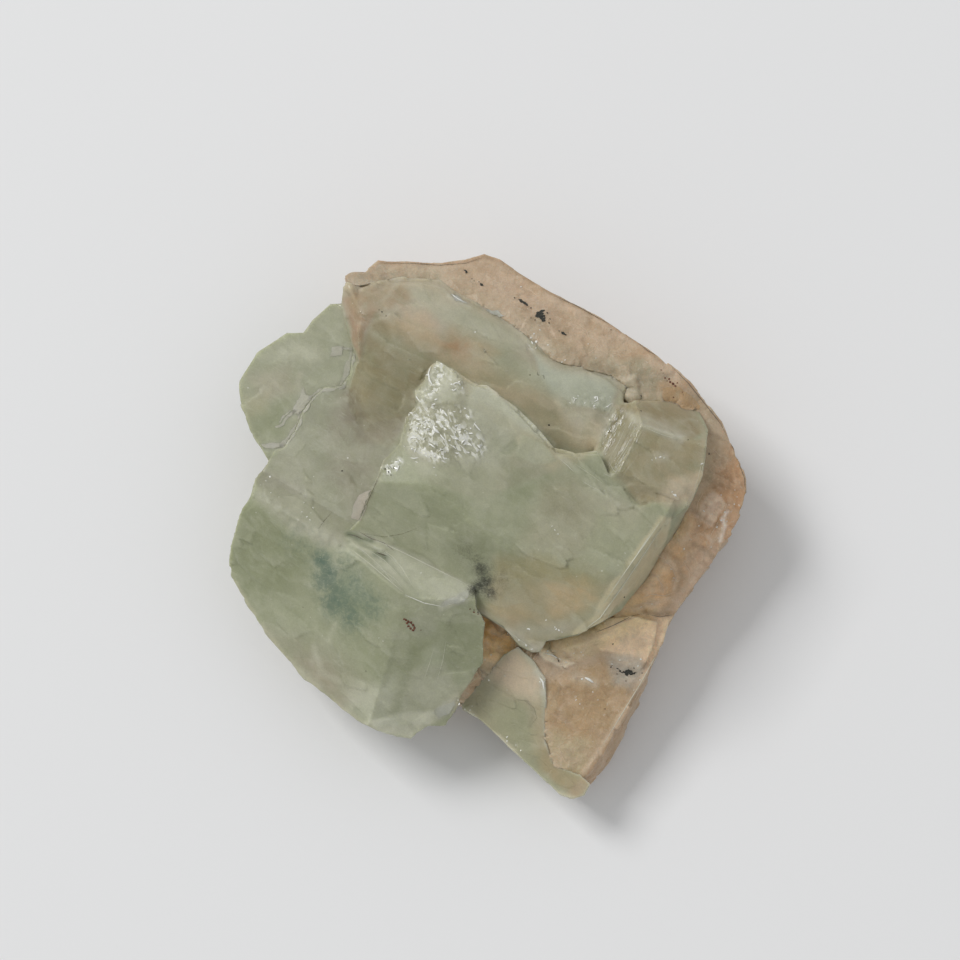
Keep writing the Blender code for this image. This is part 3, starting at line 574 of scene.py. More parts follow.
# ---- what is drawn on each piece: outlines and paths are pixels of the view ----
UPPER_OUTLINE = [(341, 300), (344, 286), (360, 284), (380, 279), (400, 274), (440, 279), (455, 290),
    (475, 302), (500, 312), (519, 327), (530, 343), (546, 361), (580, 371), (612, 376), (622, 386),
    (616, 404), (598, 447), (553, 470), (480, 500), (420, 480), (402, 446), (385, 446), (370, 439),
    (365, 429), (358, 431), (352, 420), (347, 400), (352, 380), (358, 360), (350, 340), (344, 318)]
GREEN_MARKS = {
    # the upper crystal: rock shows through it
    "upper body": Wash(ROSE_GREY, 1.0, 0.7, UPPER_OUTLINE),
    "upper honey roof": Wash(BLUSH, 0.7, 3.2, [(368, 296), (420, 292), (470, 326), (452, 366), (375, 345)]),
    "upper blush spot": Wash((0.64, 0.5, 0.35), 0.6, 3.0, [(400, 306), (424, 308), (436, 324), (426, 350),
        (404, 350), (396, 330)]),
    "upper honey stripe": Wash(HONEY, 0.45, 2.2, [(376, 316), (420, 322), (456, 348), (440, 352),
        (380, 332)]),
    "upper left olive": Wash((0.33, 0.28, 0.15), 0.75, 6.0, [(384, 326), (410, 340), (450, 362), (436, 372),
        (415, 402), (402, 440), (372, 444), (350, 400), (362, 366)]),
    "upper olive wedge": Wash((0.33, 0.275, 0.15), 0.6, 1.0, [(375, 314), (388, 326), (384, 372), (372, 400),
        (354, 410), (352, 384), (359, 358)]),
    "upper left dusk": Wash(DUSK, 0.85, 1.6, [(352, 408), (400, 404), (404, 450), (370, 446), (352, 432)]),
    "upper olive break": Wash(OLIVE, 0.5, 0.8, [(358, 372), (378, 370), (400, 380), (398, 386), (372, 382)]),
    # the valley faces, turned from the window, painted paler: partly painted light
    "upper valley": Wash((0.61, 0.51, 0.35), 0.8, 1.8, [(436, 352), (490, 356), (548, 392), (600, 426),
        (598, 452), (553, 472), (480, 410), (440, 368)]),
    "upper valley olive": Wash((0.6, 0.51, 0.33), 0.4, 2.6, [(440, 362), (500, 374), (552, 408), (596, 440),
        (553, 450), (480, 400)]),
    "upper green plane": Wash((0.47, 0.455, 0.33), 0.8, 2.2, [(404, 276), (455, 288), (500, 316), (530, 345),
        (505, 356), (474, 338), (440, 318), (405, 292)]),
    "upper green body": Wash(JADE, 0.55, 3.0, [(470, 338), (505, 348), (540, 372), (556, 398), (520, 388),
        (482, 362)]),
    "upper pale roof": Wash((0.58, 0.53, 0.4), 0.6, 2.4, [(404, 284), (444, 284), (462, 300), (446, 312),
        (416, 308)]),
    "upper border": Wash((0.56, 0.47, 0.335), 0.75, 2.6, [(376, 272), (444, 274), (470, 294), (500, 308),
        (496, 318), (460, 304), (436, 290), (380, 286)]),
    "upper brown": Wash((0.48, 0.355, 0.205), 0.55, 2.4, [(450, 328), (480, 338), (502, 352), (484, 362),
        (456, 356)]),
    "upper blue plane": Wash(BLUE_GREY, 0.9, 0.9, [(534, 352), (554, 364), (614, 377), (618, 390),
        (610, 410), (574, 406), (552, 392), (540, 376)]),
    "upper pink end": Wash((0.69, 0.64, 0.5), 0.8, 2.4, [(556, 396), (576, 408), (592, 414), (588, 434),
        (580, 440), (566, 420)]),
    "upper peach stripe": Wash((0.41, 0.275, 0.172), 0.95, 0.8, [(341, 298), (368, 292), (378, 308),
        (366, 330), (358, 360), (350, 340)]),
    "upper peach roof": Wash((0.435, 0.325, 0.2), 0.85, 2.0, [(346, 286), (404, 280), (410, 300), (380, 312),
        (350, 306)]),
    "upper cream ledge": Wash((0.47, 0.41, 0.29), 0.8, 0.6, [(345, 279), (368, 275), (372, 285),
        (346, 291)]),
    # pale raised stroke where the ledge's slit is in shadow: painted light
    "upper ledge foot": Stroke((0.62, 0.52, 0.37), 0.9, 1.3, [(348, 288), (362, 286), (378, 282)], 0.55),
    "upper stain": Wash(COPPER, 0.4, 3.2, [(438, 338), (452, 334), (468, 346), (460, 358), (440, 352)]),
    "upper stain heart": Wash(COPPER, 0.3, 1.2, [(445, 342), (460, 344), (458, 352), (446, 350)]),
    "upper olive edge": Wash(OLIVE, 0.55, 1.2, [(541, 430), (560, 424), (574, 446), (560, 452)]),
    "upper shade": Wash(BUFF, 0.55, 2.0, [(539, 349), (564, 360), (600, 372), (566, 366), (545, 362)]),
    # the right step
    "step left facet": Wash((0.345, 0.3, 0.19), 0.9, 0.5, [(617, 404), (605, 433), (599, 449), (612, 479),
        (632, 452), (642, 427)]),
    "step left dark": Wash(OLIVE, 0.6, 0.8, [(619, 404), (632, 414), (612, 438), (604, 440)]),
    "step body": Wash((0.41, 0.335, 0.196), 0.9, 1.0, [(642, 427), (690, 441), (705, 440), (704, 470),
        (690, 498), (640, 505), (612, 479), (632, 452)]),
    "step body light": Wash((0.44, 0.38, 0.245), 0.5, 2.6, [(640, 462), (664, 446), (690, 452), (692, 486),
        (660, 496), (630, 486)]),
    "step top": Wash((0.34, 0.27, 0.155), 0.95, 0.8, [(617, 404), (640, 398), (690, 404), (708, 430),
        (690, 441), (642, 427)]),
    "step crest": Wash((0.48, 0.44, 0.33), 0.75, 1.6, [(630, 412), (644, 412), (664, 422), (690, 434),
        (684, 442), (664, 436), (643, 426)]),
    "step crest pale": Wash((0.52, 0.49, 0.385), 0.8, 0.5, [(643, 424), (662, 430), (686, 437), (681, 441),
        (664, 436)]),
    "step crest start": Wash((0.5, 0.465, 0.355), 0.8, 0.6, [(626, 410), (634, 413), (641, 423),
        (634, 420)]),
    "step low edge": Wash((0.86, 0.7, 0.52), 0.6, 2.4, [(668, 480), (702, 474), (698, 500), (676, 508),
        (658, 502)]),
    "step right edge": Wash(BUFF, 0.5, 1.0, [(700, 424), (708, 430), (706, 474), (700, 478)]),
    # the left lobe and the middle plate
    "lobe": Wash((0.39, 0.392, 0.275), 0.95, 1.0, [(342, 303), (318, 312), (303, 333), (270, 343),
        (238, 382), (250, 430), (268, 460), (296, 430), (312, 398), (342, 386), (354, 348)]),
    "lobe shade": Wash((0.345, 0.352, 0.242), 0.8, 3.0, [(286, 372), (330, 352), (346, 366), (340, 384),
        (318, 390), (296, 404), (276, 398)]),
    "lobe warm": Wash(ROSE_GREY, 0.6, 2.4, [(250, 376), (290, 366), (296, 392), (262, 402)]),
    "lobe foot": Wash(DEEP_GREEN, 0.75, 3.0, [(242, 408), (290, 400), (286, 436), (262, 456)]),
    "lobe yellow": Wash((0.43, 0.4, 0.25), 0.5, 2.2, [(244, 396), (270, 392), (266, 412), (248, 420)]),
    "plate": Wash((0.29, 0.29, 0.196), 0.9, 1.0, [(268, 452), (300, 428), (312, 398), (346, 386), (366, 440),
        (400, 450), (380, 500), (352, 524), (300, 498), (256, 482)]),
    "plate blush": Wash((0.3, 0.275, 0.195), 0.75, 4.0, [(340, 392), (352, 400), (368, 440), (398, 450),
        (380, 500), (352, 520), (330, 480), (326, 420)]),
    "plate dusk": Wash((0.19, 0.155, 0.09), 0.7, 1.8, [(346, 386), (356, 388), (372, 444), (360, 446),
        (346, 420)]),
    "plate light": Wash((0.385, 0.378, 0.27), 0.6, 2.6, [(276, 460), (300, 440), (318, 470), (334, 500),
        (306, 498), (272, 478)]),
    "plate dark foot": Wash(DEEP_GREEN, 0.6, 0.9, [(266, 450), (279, 448), (277, 456), (267, 461)]),
    "upper foot on plate": Wash((0.29, 0.255, 0.17), 0.9, 0.6, [(362, 424), (404, 416), (406, 447),
        (396, 443), (388, 446), (380, 438), (370, 437)]),
    # the lower cube
    "cube dark corner": Wash((0.255, 0.275, 0.155), 0.78, 4.5, [(244, 490), (262, 505), (300, 530),
        (318, 560), (290, 590), (240, 598), (228, 560)]),
    "cube warm foot": Wash((0.385, 0.355, 0.26), 0.7, 5.0, [(270, 630), (330, 650), (380, 700), (350, 716),
        (300, 676)]),
    "cube pink foot": Wash((0.46, 0.375, 0.285), 0.4, 3.0, [(300, 660), (326, 666), (350, 700), (338, 706)]),
    "cube cloud green": Wash((0.215, 0.275, 0.185), 0.55, 4.5, [(334, 578), (352, 572), (378, 600),
        (374, 620), (350, 622), (334, 604)]),
    "cube green heart": Wash(DEEP_GREEN, 0.45, 5.0, [(340, 600), (380, 620), (396, 660), (372, 672),
        (350, 640)]),
    "cube foot tip": Wash((0.8, 0.79, 0.64), 0.7, 1.4, [(366, 722), (398, 714), (412, 722), (404, 738),
        (378, 731)]),
    "cube foot light": Wash((0.64, 0.645, 0.51), 0.6, 4.0, [(346, 690), (392, 680), (400, 712), (378, 730),
        (352, 714)]),
    "cube band": Wash((0.395, 0.38, 0.29), 0.75, 2.0, [(262, 468), (300, 486), (350, 524), (346, 548),
        (318, 546), (285, 524), (254, 498)]),
    "cube band white": Wash(MILK, 0.1, 3.0, [(258, 492), (300, 516), (330, 538), (318, 548), (284, 526)]),
    "cube lozenge": Wash((0.5, 0.505, 0.375), 0.95, 0.4, [(346, 537), (362, 532), (470, 588), (469, 596),
        (442, 607), (407, 597)]),
    # the lozenge's pale top: partly a painted sheen of the window
    "cube lozenge pale": Wash(PALE_SAGE, 0.75, 1.0, [(392, 548), (469, 586), (467, 598), (441, 607),
        (414, 598), (398, 574)]),
    "cube right": Wash((0.35, 0.372, 0.23), 0.8, 4.5, [(410, 597), (442, 607), (470, 596), (486, 622),
        (483, 662), (452, 700), (408, 670)]),
    "cube shoulder": Wash((0.45, 0.455, 0.335), 0.6, 1.8, [(407, 599), (442, 609), (436, 634), (412, 640)]),
    "cube right light": Wash((0.48, 0.5, 0.35), 0.7, 2.0, [(424, 650), (444, 640), (440, 700), (410, 712)]),
    "cube pale facet": Wash((0.5, 0.5, 0.37), 0.75, 1.6, [(404, 672), (446, 662), (459, 690), (452, 712),
        (430, 726), (411, 738), (378, 730)]),
    "cube pale foot": Wash((0.7, 0.69, 0.55), 0.7, 0.8, [(370, 722), (398, 713), (432, 712), (458, 694),
        (456, 704), (450, 715), (428, 726), (411, 738), (388, 735)]),
    # the central block
    "block": Wash(JADE, 0.5, 1.0, [(437, 361), (474, 383), (520, 410), (553, 446), (598, 450), (640, 505),
        (672, 516), (620, 612), (546, 641), (468, 587), (360, 520), (384, 464)]),
    "block deep side": Wash(JADE, 0.8, 2.2, [(376, 478), (398, 462), (456, 500), (474, 516), (519, 545),
        (534, 558), (500, 584), (470, 588), (420, 560), (362, 526)]),
    "block under frost": Wash(JADE, 0.6, 1.8, [(384, 468), (400, 457), (440, 468), (470, 490), (440, 488),
        (400, 484), (378, 482)]),
    "block side shade": Wash(DEEP_GREEN, 0.4, 3.0, [(418, 488), (456, 500), (472, 518), (440, 522),
        (422, 508)]),
    "block side dark": Wash(DARK_GREEN, 0.45, 3.5, [(456, 524), (486, 532), (516, 552), (498, 584),
        (468, 578), (448, 552)]),
    "block side light": Wash(SAGE, 0.45, 4.0, [(365, 510), (396, 520), (440, 544), (440, 562), (400, 548),
        (366, 530)]),
    "block upper light": Wash(SAGE, 0.65, 2.4, [(462, 462), (500, 470), (500, 500), (520, 530), (480, 508),
        (440, 480), (410, 464)]),
    "block middle shade": Wash(DEEP_GREEN, 0.45, 2.2, [(506, 466), (522, 470), (534, 486), (526, 504),
        (512, 500), (508, 484)]),
    "block notch": Wash(DEEP_GREEN, 0.6, 0.5, [(498, 455), (515, 437), (520, 446), (512, 454)], -0.2),
    "block notch facet": Wash((0.47, 0.478, 0.345), 0.7, 0.5, [(520, 434), (546, 446), (558, 461),
        (534, 463), (516, 456), (520, 446)], 0.12),
    "block right": Wash((0.45, 0.425, 0.3), 0.75, 5.0, [(560, 470), (640, 505), (664, 520), (610, 590),
        (560, 565), (520, 545), (540, 500)]),
    "block middle": Wash((0.35, 0.33, 0.215), 0.6, 3.0, [(540, 480), (570, 482), (590, 506), (576, 524),
        (548, 514)]),
    "block right light": Wash((0.6, 0.55, 0.42), 0.5, 3.0, [(606, 504), (640, 510), (636, 534), (612, 536)]),
    "block right green": Wash((0.43, 0.445, 0.295), 0.6, 3.0, [(600, 510), (650, 520), (640, 548),
        (606, 580), (580, 560)]),
    "block front": Wash(HONEY, 0.6, 3.4, [(498, 560), (534, 556), (605, 581), (622, 588), (600, 622),
        (560, 636), (533, 648), (503, 628), (484, 612)]),
    "block front olive": Wash((0.375, 0.35, 0.185), 0.65, 3.2, [(500, 556), (560, 556), (604, 578),
        (586, 590), (540, 580), (508, 592)]),
    "block front green": Wash((0.425, 0.42, 0.275), 0.55, 2.4, [(590, 590), (622, 590), (600, 622),
        (560, 634), (572, 612)]),
    "block front glow": Wash((0.72, 0.53, 0.3), 0.55, 2.6, [(545, 585), (585, 580), (598, 600), (575, 616),
        (550, 614)]),
    "block front low": Wash((0.48, 0.41, 0.27), 0.75, 2.0, [(494, 614), (540, 622), (590, 622), (560, 638),
        (534, 650), (506, 630)]),
    "block front glow 2": Wash(AMBER, 0.3, 1.6, [(490, 606), (520, 604), (534, 620), (510, 624)]),
    "block rim": Wash((0.7, 0.62, 0.41), 0.75, 0.5, [(672, 516), (660, 517), (642, 540), (605, 592),
        (592, 618), (572, 632), (574, 638), (600, 627), (624, 600), (645, 581), (665, 547)]),
    "block rim warm": Wash((0.56, 0.45, 0.27), 0.6, 1.0, [(660, 530), (668, 534), (640, 586), (604, 626),
        (600, 616), (634, 570)]),
    "block knob": Wash(PALE_SAGE, 0.6, 0.8, [(437, 361), (455, 371), (464, 384), (455, 402), (420, 404),
        (414, 393), (430, 375)]),
    "block pale top": Wash((0.62, 0.63, 0.5), 0.75, 1.4, [(468, 384), (487, 386), (516, 408), (545, 432),
        (555, 446), (528, 434), (500, 412), (470, 398)]),
    "block top": Wash(PALE_SAGE, 0.6, 2.4, [(462, 392), (500, 406), (520, 430), (500, 470), (462, 462),
        (470, 424)]),
    # pale strokes along ridges and edges are partly painted highlights
    "lobe rough top": Stroke(MILK, 0.4, 2.2, [(286, 352), (300, 350), (312, 356)], 0.1),
    "zigzag branch": Stroke(CREAM, 0.35, 0.9, [(300, 374), (298, 384), (304, 392)]),
    "cube ridge": Stroke(MILK, 0.45, 0.8, [(348, 547), (366, 562), (386, 578), (404, 593)], 0.1),
    "cube far ridge": Stroke(MILK, 0.45, 0.7, [(362, 532), (400, 550), (440, 571), (470, 587)], 0.08),
    "cube end": Stroke(MILK, 0.8, 1.0, [(470, 589), (466, 598), (452, 603), (442, 607)], 0.12),
    "cube end facet": Stroke(MILK, 0.5, 1.2, [(455, 596), (462, 592)]),
    "lozenge inner": Stroke(MILK, 0.6, 0.7, [(352, 544), (377, 554), (395, 572), (414, 592)], 0.12),
    "lozenge trough": Stroke((0.4, 0.415, 0.3), 0.6, 0.7, [(356, 540), (384, 556), (400, 574), (418, 596)],
        -0.12),
    "lozenge dark 1": Stroke((0.15, 0.18, 0.115), 0.85, 1.0, [(349, 534), (360, 538), (371, 541)]),
    "lozenge dark 2": Stroke((0.16, 0.195, 0.125), 0.85, 1.0, [(376, 554), (381, 556), (386, 557)]),
    "cube outer edge": Stroke((0.64, 0.6, 0.46), 0.5, 0.9, [(232, 578), (252, 612), (285, 656), (320, 690),
        (358, 721), (378, 731)]),
    "cube vein": Stroke(MILK, 0.4, 1.0, [(314, 648), (318, 660), (323, 674), (340, 682)]),
    "cube vein 2": Stroke(MILK, 0.25, 0.8, [(328, 640), (332, 630), (336, 624)]),
    "cube edge shade": Stroke(DEEP_GREEN, 0.6, 1.6, [(414, 650), (404, 680), (396, 712)]),
    "block left edge": Stroke(GRIME, 0.4, 0.5, [(379, 474), (370, 496), (361, 516)], -0.1),
    "block back edge": Stroke(MILK, 0.5, 0.8, [(474, 384), (488, 387), (516, 409), (553, 444)]),
    "block streak 1": Stroke(MILK, 0.45, 0.7, [(559, 457), (570, 464), (578, 471)], 0.08),
    "block streak 2": Stroke(MILK, 0.45, 0.7, [(585, 480), (601, 492), (618, 505)], 0.08),
    "block streak 3": Stroke(MILK, 0.3, 0.6, [(600, 484), (618, 496)]),
    "cube glass 2": Stroke((0.62, 0.62, 0.48), 0.85, 1.0, [(404, 724), (416, 719), (426, 721)], 0.1),
    "cube glass 3": Stroke((0.56, 0.57, 0.44), 0.8, 1.3, [(382, 725), (396, 719), (398, 722)], 0.1),
    "block front edge": Stroke(SAGE, 0.45, 1.0, [(560, 560), (590, 572), (606, 582)]),
    "block foot edge": Stroke(CREAM, 0.75, 1.2, [(480, 612), (504, 628), (520, 640), (534, 649)], 0.1),
    "block foot edge 2": Stroke(CREAM, 0.65, 1.2, [(534, 650), (552, 640), (572, 636)]),
    "block foot frost": Stroke(MILK, 0.45, 2.0, [(524, 630), (540, 632), (562, 628)]),
    "block foot stain": Stroke(APRICOT, 0.55, 1.4, [(482, 616), (496, 626), (508, 634)]),
    "step ridge": Stroke((0.54, 0.51, 0.4), 0.7, 0.9, [(643, 425), (664, 434), (681, 441)], 0.04),
    "step ridge 2": Stroke((0.5, 0.465, 0.355), 0.5, 0.7, [(630, 412), (640, 421)], 0.04),
    "step crest edge": Stroke(CREAM, 0.45, 0.8, [(617, 405), (640, 426)]),
    "step spot": Stroke(CREAM, 0.55, 1.2, [(658, 457), (665, 456)]),
    "upper ridge 1": Stroke(MILK, 0.7, 0.8, [(450, 295), (462, 301), (470, 306)], 0.12),
    "upper ridge 2": Stroke(MILK, 0.7, 0.7, [(484, 309), (496, 312), (508, 318)], 0.12),
    "upper ridge 3": Stroke(MILK, 0.55, 0.8, [(508, 319), (520, 328), (529, 342)], 0.08),
    "upper far edge": Stroke(MILK, 0.45, 0.8, [(534, 352), (546, 361), (562, 366), (590, 373), (616, 378)],
        0.06),
    "upper pale streak": Stroke(SAGE, 0.35, 1.5, [(378, 336), (398, 346), (420, 356)]),
    "upper step edge": Stroke(SAGE, 0.55, 1.0, [(534, 375), (552, 390), (566, 404)]),
}
# places where the faces run into each other softly: rounds of smoothing and where
GREEN_MELTS = [
    (26, Wash(None, 1.0, 1.5, [(392, 268), (440, 277), (500, 310), (546, 360), (616, 374), (628, 392),
        (612, 420), (600, 450), (556, 452), (500, 392), (470, 380), (436, 350), (420, 372), (400, 446),
        (366, 438), (350, 400), (366, 318)])),
    (26, Wash(None, 0.9, 1.0, [(352, 280), (384, 280), (390, 330), (372, 350), (354, 320)])),
    (16, Wash(None, 1.0, 3.6, [(406, 398), (416, 384), (466, 372), (498, 402), (500, 450), (480, 476),
        (400, 476), (380, 450)])),
    (30, Stroke(None, 1.0, 2.6, [(618, 402), (606, 424), (598, 448)])),
    (40, Stroke(None, 1.0, 3.0, [(616, 486), (640, 504), (664, 500), (690, 494)])),
    (24, Stroke(None, 1.0, 1.8, [(708, 436), (706, 456), (704, 476)])),
    (14, Stroke(None, 1.0, 3.0, [(398, 462), (456, 502), (474, 514), (534, 556)])),
    (24, Stroke(None, 1.0, 3.0, [(534, 556), (580, 570), (622, 586)])),
    (70, Stroke(None, 1.0, 4.5, [(405, 604), (403, 640), (399, 680)])),
    (12, Stroke(None, 1.0, 2.0, [(399, 680), (396, 726)])),
    (34, Stroke(None, 1.0, 3.4, [(252, 496), (300, 528), (340, 546)])),
]
# places where finer patterns start: the strength of each is kept in a layer of its own
GREEN_LAYERS = {
    "blue_cloud": [Stroke(None, 1.0, 3.2, [(322, 560), (328, 572)]),
        Stroke(None, 0.85, 4.8, [(326, 580), (334, 602)]),
        Stroke(None, 0.7, 4.8, [(336, 592), (350, 616)]),
        Stroke(None, 0.5, 5.0, [(344, 568), (372, 606)]),
        Stroke(None, 0.35, 5.0, [(296, 540), (316, 556)])],
    "dark_cloud": [Stroke(None, 1.0, 2.6, [(474, 590), (486, 582)]),
        Stroke(None, 0.9, 3.2, [(482, 570), (490, 592)]),
        Stroke(None, 0.55, 4.8, [(466, 552), (500, 580)])],
    "frost": [Stroke(None, 1.0, 3.6, [(418, 426), (440, 424), (462, 436), (474, 446)]),
        Stroke(None, 0.9, 3.2, [(416, 440), (436, 452), (462, 446)]),
        Stroke(None, 0.7, 2.6, [(412, 412), (440, 410), (466, 414)]),
        Stroke(None, 0.8, 2.2, [(440, 370), (434, 388), (422, 398)]),
        Stroke(None, 0.55, 2.2, [(452, 380), (462, 392)]),
        Stroke(None, 0.8, 1.8, [(388, 470), (398, 462)]),
        Stroke(None, 0.45, 2.2, [(572, 402), (600, 400)]),
        Stroke(None, 0.6, 1.8, [(532, 346), (542, 332)])],
    "striae": [Stroke(None, 1.0, 2.6, [(620, 416), (608, 444)]),
        Stroke(None, 1.0, 2.6, [(634, 430), (616, 466)])],
}
# thin plates and ledges that cleavage left on the crystals
PLATE_TONE = (0.535, 0.515, 0.385)
CREAM_PLATES = {
    "flag": Plate(PLATE_TONE, 0.06, 0.1, [(332, 347), (343, 346), (342, 355), (330, 356)]),
    "flag line": Plate(PLATE_TONE, 0.05, 0.08, [(342, 346.5), (354, 348), (354, 350.5), (342, 348.5)]),
    "lobe side": Plate(PLATE_TONE, 0.07, 0.1, [(352, 348), (355, 349), (355.5, 361), (351, 371), (347, 380),
        (345, 388), (339, 390), (341, 380), (344, 369), (349, 359)]),
    "lobe corner": Plate(PLATE_TONE, 0.06, 0.16, [(345, 385), (336, 385), (322, 388), (314, 393), (307, 400),
        (311, 403), (316, 397), (325, 391.5), (337, 388), (344, 389)]),
    "wide": Plate(PLATE_TONE, 0.12, 0.1, [(303, 387), (306, 395), (312, 396), (310, 405), (303, 414),
        (292, 413), (295, 405), (300, 397)]),
    "lower": Plate(PLATE_TONE, 0.06, 0.14, [(303, 412), (301, 425), (296, 432), (291, 440), (283, 447),
        (279, 446), (287, 437), (291, 430), (297, 423), (299, 412)]),
    "lower end": Plate(PLATE_TONE, 0.06, 0.12, [(284, 445), (276, 448), (262, 446), (261, 443.5),
        (272, 442.5), (280, 443.5)]),
    "twin": Plate(PLATE_TONE, 0.05, 0.1, [(296, 411), (289, 417), (284, 425), (276, 428), (275, 426.5),
        (282, 423), (287, 415.5), (294, 410)]),
    "twin 2": Plate(PLATE_TONE, 0.05, 0.1, [(291, 411), (284, 417), (280, 423), (279, 422), (283, 415.5),
        (290, 410)]),
    "foot strip": Plate((0.5, 0.44, 0.33), 0.12, 0.08, [(359, 495), (371, 490), (367, 505), (361, 521),
        (351, 518), (353, 507)]),
    "cube end": Plate(PALE_SAGE, 0.12, 0.08, [(441, 607), (446, 600), (456, 596), (468, 590), (469, 596),
        (464, 602), (452, 603)]),
    "cube glass 1": Plate(PALE_SAGE, 0.14, 0.14, [(434, 712), (444, 706), (456, 697), (455, 705), (449, 714),
        (438, 720)]),
    "upper flag 1": Plate(MILK, 0.1, 0.14, [(450, 294), (460, 297), (468, 304), (456, 301)]),
    "upper flag 2": Plate(MILK, 0.1, 0.14, [(486, 309), (498, 310), (505, 316), (494, 315)]),
}
ROCK_PLATES = {
    "orange chunk": Plate((0.52, 0.33, 0.175), 0.1, 0.2, [(662, 388), (676, 386), (692, 396), (700, 410),
        (690, 410), (674, 402), (664, 400)]),
}
SOOT_PLATES = {
    "upper": Plate(SOOT, 0.05, 0.55, [(535, 316), (537, 313), (541, 310), (545, 311), (543, 315), (546, 318),
        (544, 321.5), (540, 319), (537, 318)]),
    "lower": Plate(SOOT, 0.06, 0.42, [(616, 668), (621, 670), (625, 671.5), (630, 670), (637, 672.5),
        (632, 675), (628, 677), (625, 675), (621, 672.5)]),
    "upper streak": Plate(SOOT, 0.08, 0.22, [(518, 299), (522, 299.5), (528, 304), (529, 306.5),
        (525, 304.5), (520, 302)]),
    "upper dot": Plate(SOOT, 0.08, 0.2, [(463.5, 269.5), (466, 270), (468, 273), (466, 273.5)]),
    "upper dot 2": Plate(SOOT, 0.08, 0.2, [(480, 283), (482.5, 283.5), (484, 286), (481.5, 286)]),
    "side dot": Plate(SOOT, 0.08, 0.2, [(561, 331.5), (564, 332), (566, 334.5), (562.5, 334.5)]),
}
RIM = [(380, 262), (410, 262), (440, 264), (466, 262), (484, 256), (500, 262), (552, 294), (600, 318),
    (648, 349), (672, 363), (690, 382), (705, 400), (722, 422), (735, 448), (746, 478), (747, 492),
    (735, 530), (712, 566), (692, 600)]
